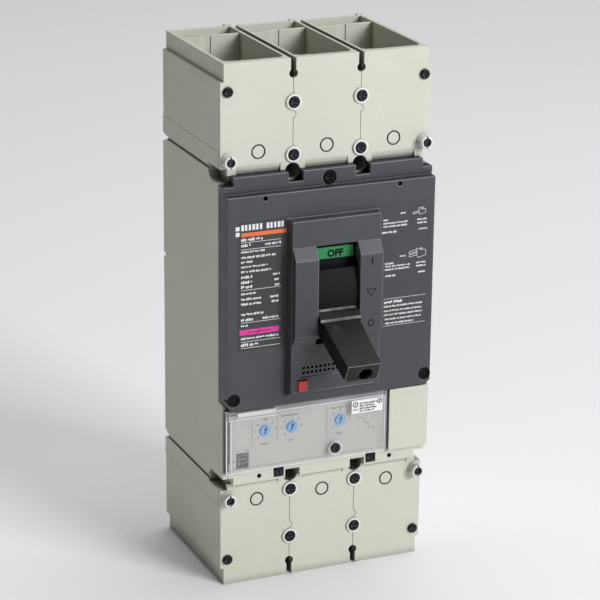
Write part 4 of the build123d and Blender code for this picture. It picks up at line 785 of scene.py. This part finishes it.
# ---------------------------------------------------------------- flags
def flag_faces():
    """Coloured faces on the two flags; the second one comes into its window when ON."""
    pivot = Vector((0.0, PIVOT_Y * MM, PIVOT_Z * MM))
    front = PIVOT_Y - FLAG_FRONT
    for name, colour, word, word_colour in (("off", "green", "OFF", "black"), ("on", "red", "ON", "white")):
        turn = Matrix.Identity(4)
        side = 1
        if name == "on":
            travel = Matrix.Rotation(math.radians(FLAG_SWING), 4, "X")
            turn = Matrix.Translation(pivot) @ travel @ Matrix.Translation(-pivot)
            side = -1
        low, high = sorted((PIVOT_Z + side * (FLAG_LOW + 0.1), PIVOT_Z + side * (FLAG_HIGH - 0.1)))
        face = bmesh.new()
        add_bar(face, -FLAG_HALF_WIDTH, FLAG_HALF_WIDTH, low, high, front, FLAG_FACE)
        face.transform(turn)
        piece("flag_face_" + name, face, PRINTS[colour], "toggle")
        text_z = PIVOT_Z + side * 24.2
        text = lettering("flag_word_" + name, [(word, 1.3, text_z, 4.4)], front - FLAG_FACE,
                         PRINTS[word_colour], "toggle", weight=WORD_WEIGHT)
        text.data.transform(turn)


# ---------------------------------------------------------------- small parts
def sealing_inserts():
    """Dark glossy insert with a small stud in the middle, at the bottom of each hollow sealing screw."""
    front, stud_front = -103.3, -103.9
    inserts = bmesh.new()
    for x, z in SEALING_PLACES:
        add_prism(inserts, circle(x, z, 2.8, 24), front, POST_BOTTOM_Y)
        add_prism(inserts, circle(x, z, 1.0, 24), stud_front, front)
    piece("sealing_inserts", inserts, PRINTS["gloss_black"], "breaker")


def return_spring():
    """Coil round the button's stem; it stands on the cover's shelf."""
    low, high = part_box("button_spring")
    centre_x, centre_z = middle("button_spring")
    wire, turns, steps, sides = 0.38, 4.5, 16, 8
    radius = (high[0] - low[0]) / 2 / MM - wire - 0.05
    front, back = low[1] / MM + wire, high[1] / MM - wire
    rings = []
    coil = bmesh.new()
    count = int(turns * steps)
    for step in range(count + 1):
        angle = 2 * math.pi * step / steps
        y = front + (back - front) * step / count
        ring = []
        for reach, rise in circle(radius, 0.0, wire, sides):
            point = (centre_x + reach * math.cos(angle), y + rise, centre_z + reach * math.sin(angle))
            ring.append(coil.verts.new([value * MM for value in point]))
        rings.append(ring)
    for ring, after in zip(rings, rings[1:]):
        for side in range(sides):
            beside = (side + 1) % sides
            coil.faces.new((ring[side], ring[beside], after[beside], after[side]))
    coil.faces.new(rings[0])
    coil.faces.new(rings[-1][::-1])
    spring = piece("button_return_coil", coil, MATERIALS["spring_steel"], "breaker")
    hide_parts("button_spring")
    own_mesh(spring)


def breaker_details():
    """Everything drawn on or set into the CAD nodes."""
    left_label()
    right_label()
    rail_marks()
    trip_plate_print()
    dials()
    sticker_print()
    lid_lines()
    connector_pins()
    flag_faces()
    sealing_inserts()
    return_spring()


# ---------------------------------------------------------------- studio
def add_floor():
    """Plain pale sheet under the breaker."""
    floor_mesh = bmesh.new()
    corners = [(-FLOOR_REACH, -FLOOR_REACH), (FLOOR_REACH, -FLOOR_REACH),
               (FLOOR_REACH, FLOOR_REACH), (-FLOOR_REACH, FLOOR_REACH)]
    floor_mesh.faces.new([floor_mesh.verts.new((x, y, FLOOR_Z * MM)) for x, y in corners])
    data = bpy.data.meshes.new("floor")
    floor_mesh.to_mesh(data)
    floor_mesh.free()
    data.materials.append(ink("floor_paper", (0.93, 0.93, 0.93), 0.7, 0.01))
    floor = bpy.data.objects.new("floor", data)
    bpy.context.scene.collection.objects.link(floor)


def studio():
    """Pale floor, dim even surroundings and two soft lamps."""
    add_floor()
    world = bpy.data.worlds.new("studio")
    world.use_nodes = True
    background = world.node_tree.nodes["Background"]
    background.inputs["Color"].default_value = (1.0, 1.0, 1.0, 1.0)
    background.inputs["Strength"].default_value = WORLD_STRENGTH
    bpy.context.scene.world = world
    for name, (place, target, width, power, colour) in LAMPS.items():
        lamp = bpy.data.lights.new(name, "AREA")
        lamp.shape = "SQUARE"
        lamp.size = width
        lamp.energy = power
        lamp.color = colour
        holder = bpy.data.objects.new(name, lamp)
        holder.location = place
        holder.rotation_euler = (Vector(target) - Vector(place)).to_track_quat("-Z", "Y").to_euler()
        bpy.context.scene.collection.objects.link(holder)
    bpy.context.scene.view_settings.view_transform = "Standard"


def camera():
    """Camera without lens shift; its offset moves it sideways and up, in its own image plane."""
    cos_a, sin_a = math.cos(CAMERA_AZIMUTH), math.sin(CAMERA_AZIMUTH)
    cos_e, sin_e = math.cos(CAMERA_ELEVATION), math.sin(CAMERA_ELEVATION)
    back = Vector((sin_a * cos_e, -cos_a * cos_e, sin_e))
    right = Vector((cos_a, sin_a, 0.0))
    up = back.cross(right)
    cos_r, sin_r = math.cos(CAMERA_ROLL), math.sin(CAMERA_ROLL)
    rolled_right = right * cos_r + up * sin_r
    rolled_up = up * cos_r - right * sin_r
    place = back * CAMERA_DISTANCE - rolled_right * CAMERA_OFFSET[0] - rolled_up * CAMERA_OFFSET[1]
    matrix = Matrix((rolled_right, rolled_up, back)).transposed().to_4x4()
    matrix.translation = place * MM
    data = bpy.data.cameras.new("camera")
    data.sensor_width = SENSOR_MM
    data.lens = FOCAL_PIXELS / IMAGE_SIDE * SENSOR_MM
    data.clip_start = 0.05
    holder = bpy.data.objects.new("camera", data)
    holder.matrix_world = matrix
    bpy.context.scene.collection.objects.link(holder)
    bpy.context.scene.camera = holder


breaker_details()
studio()
camera()
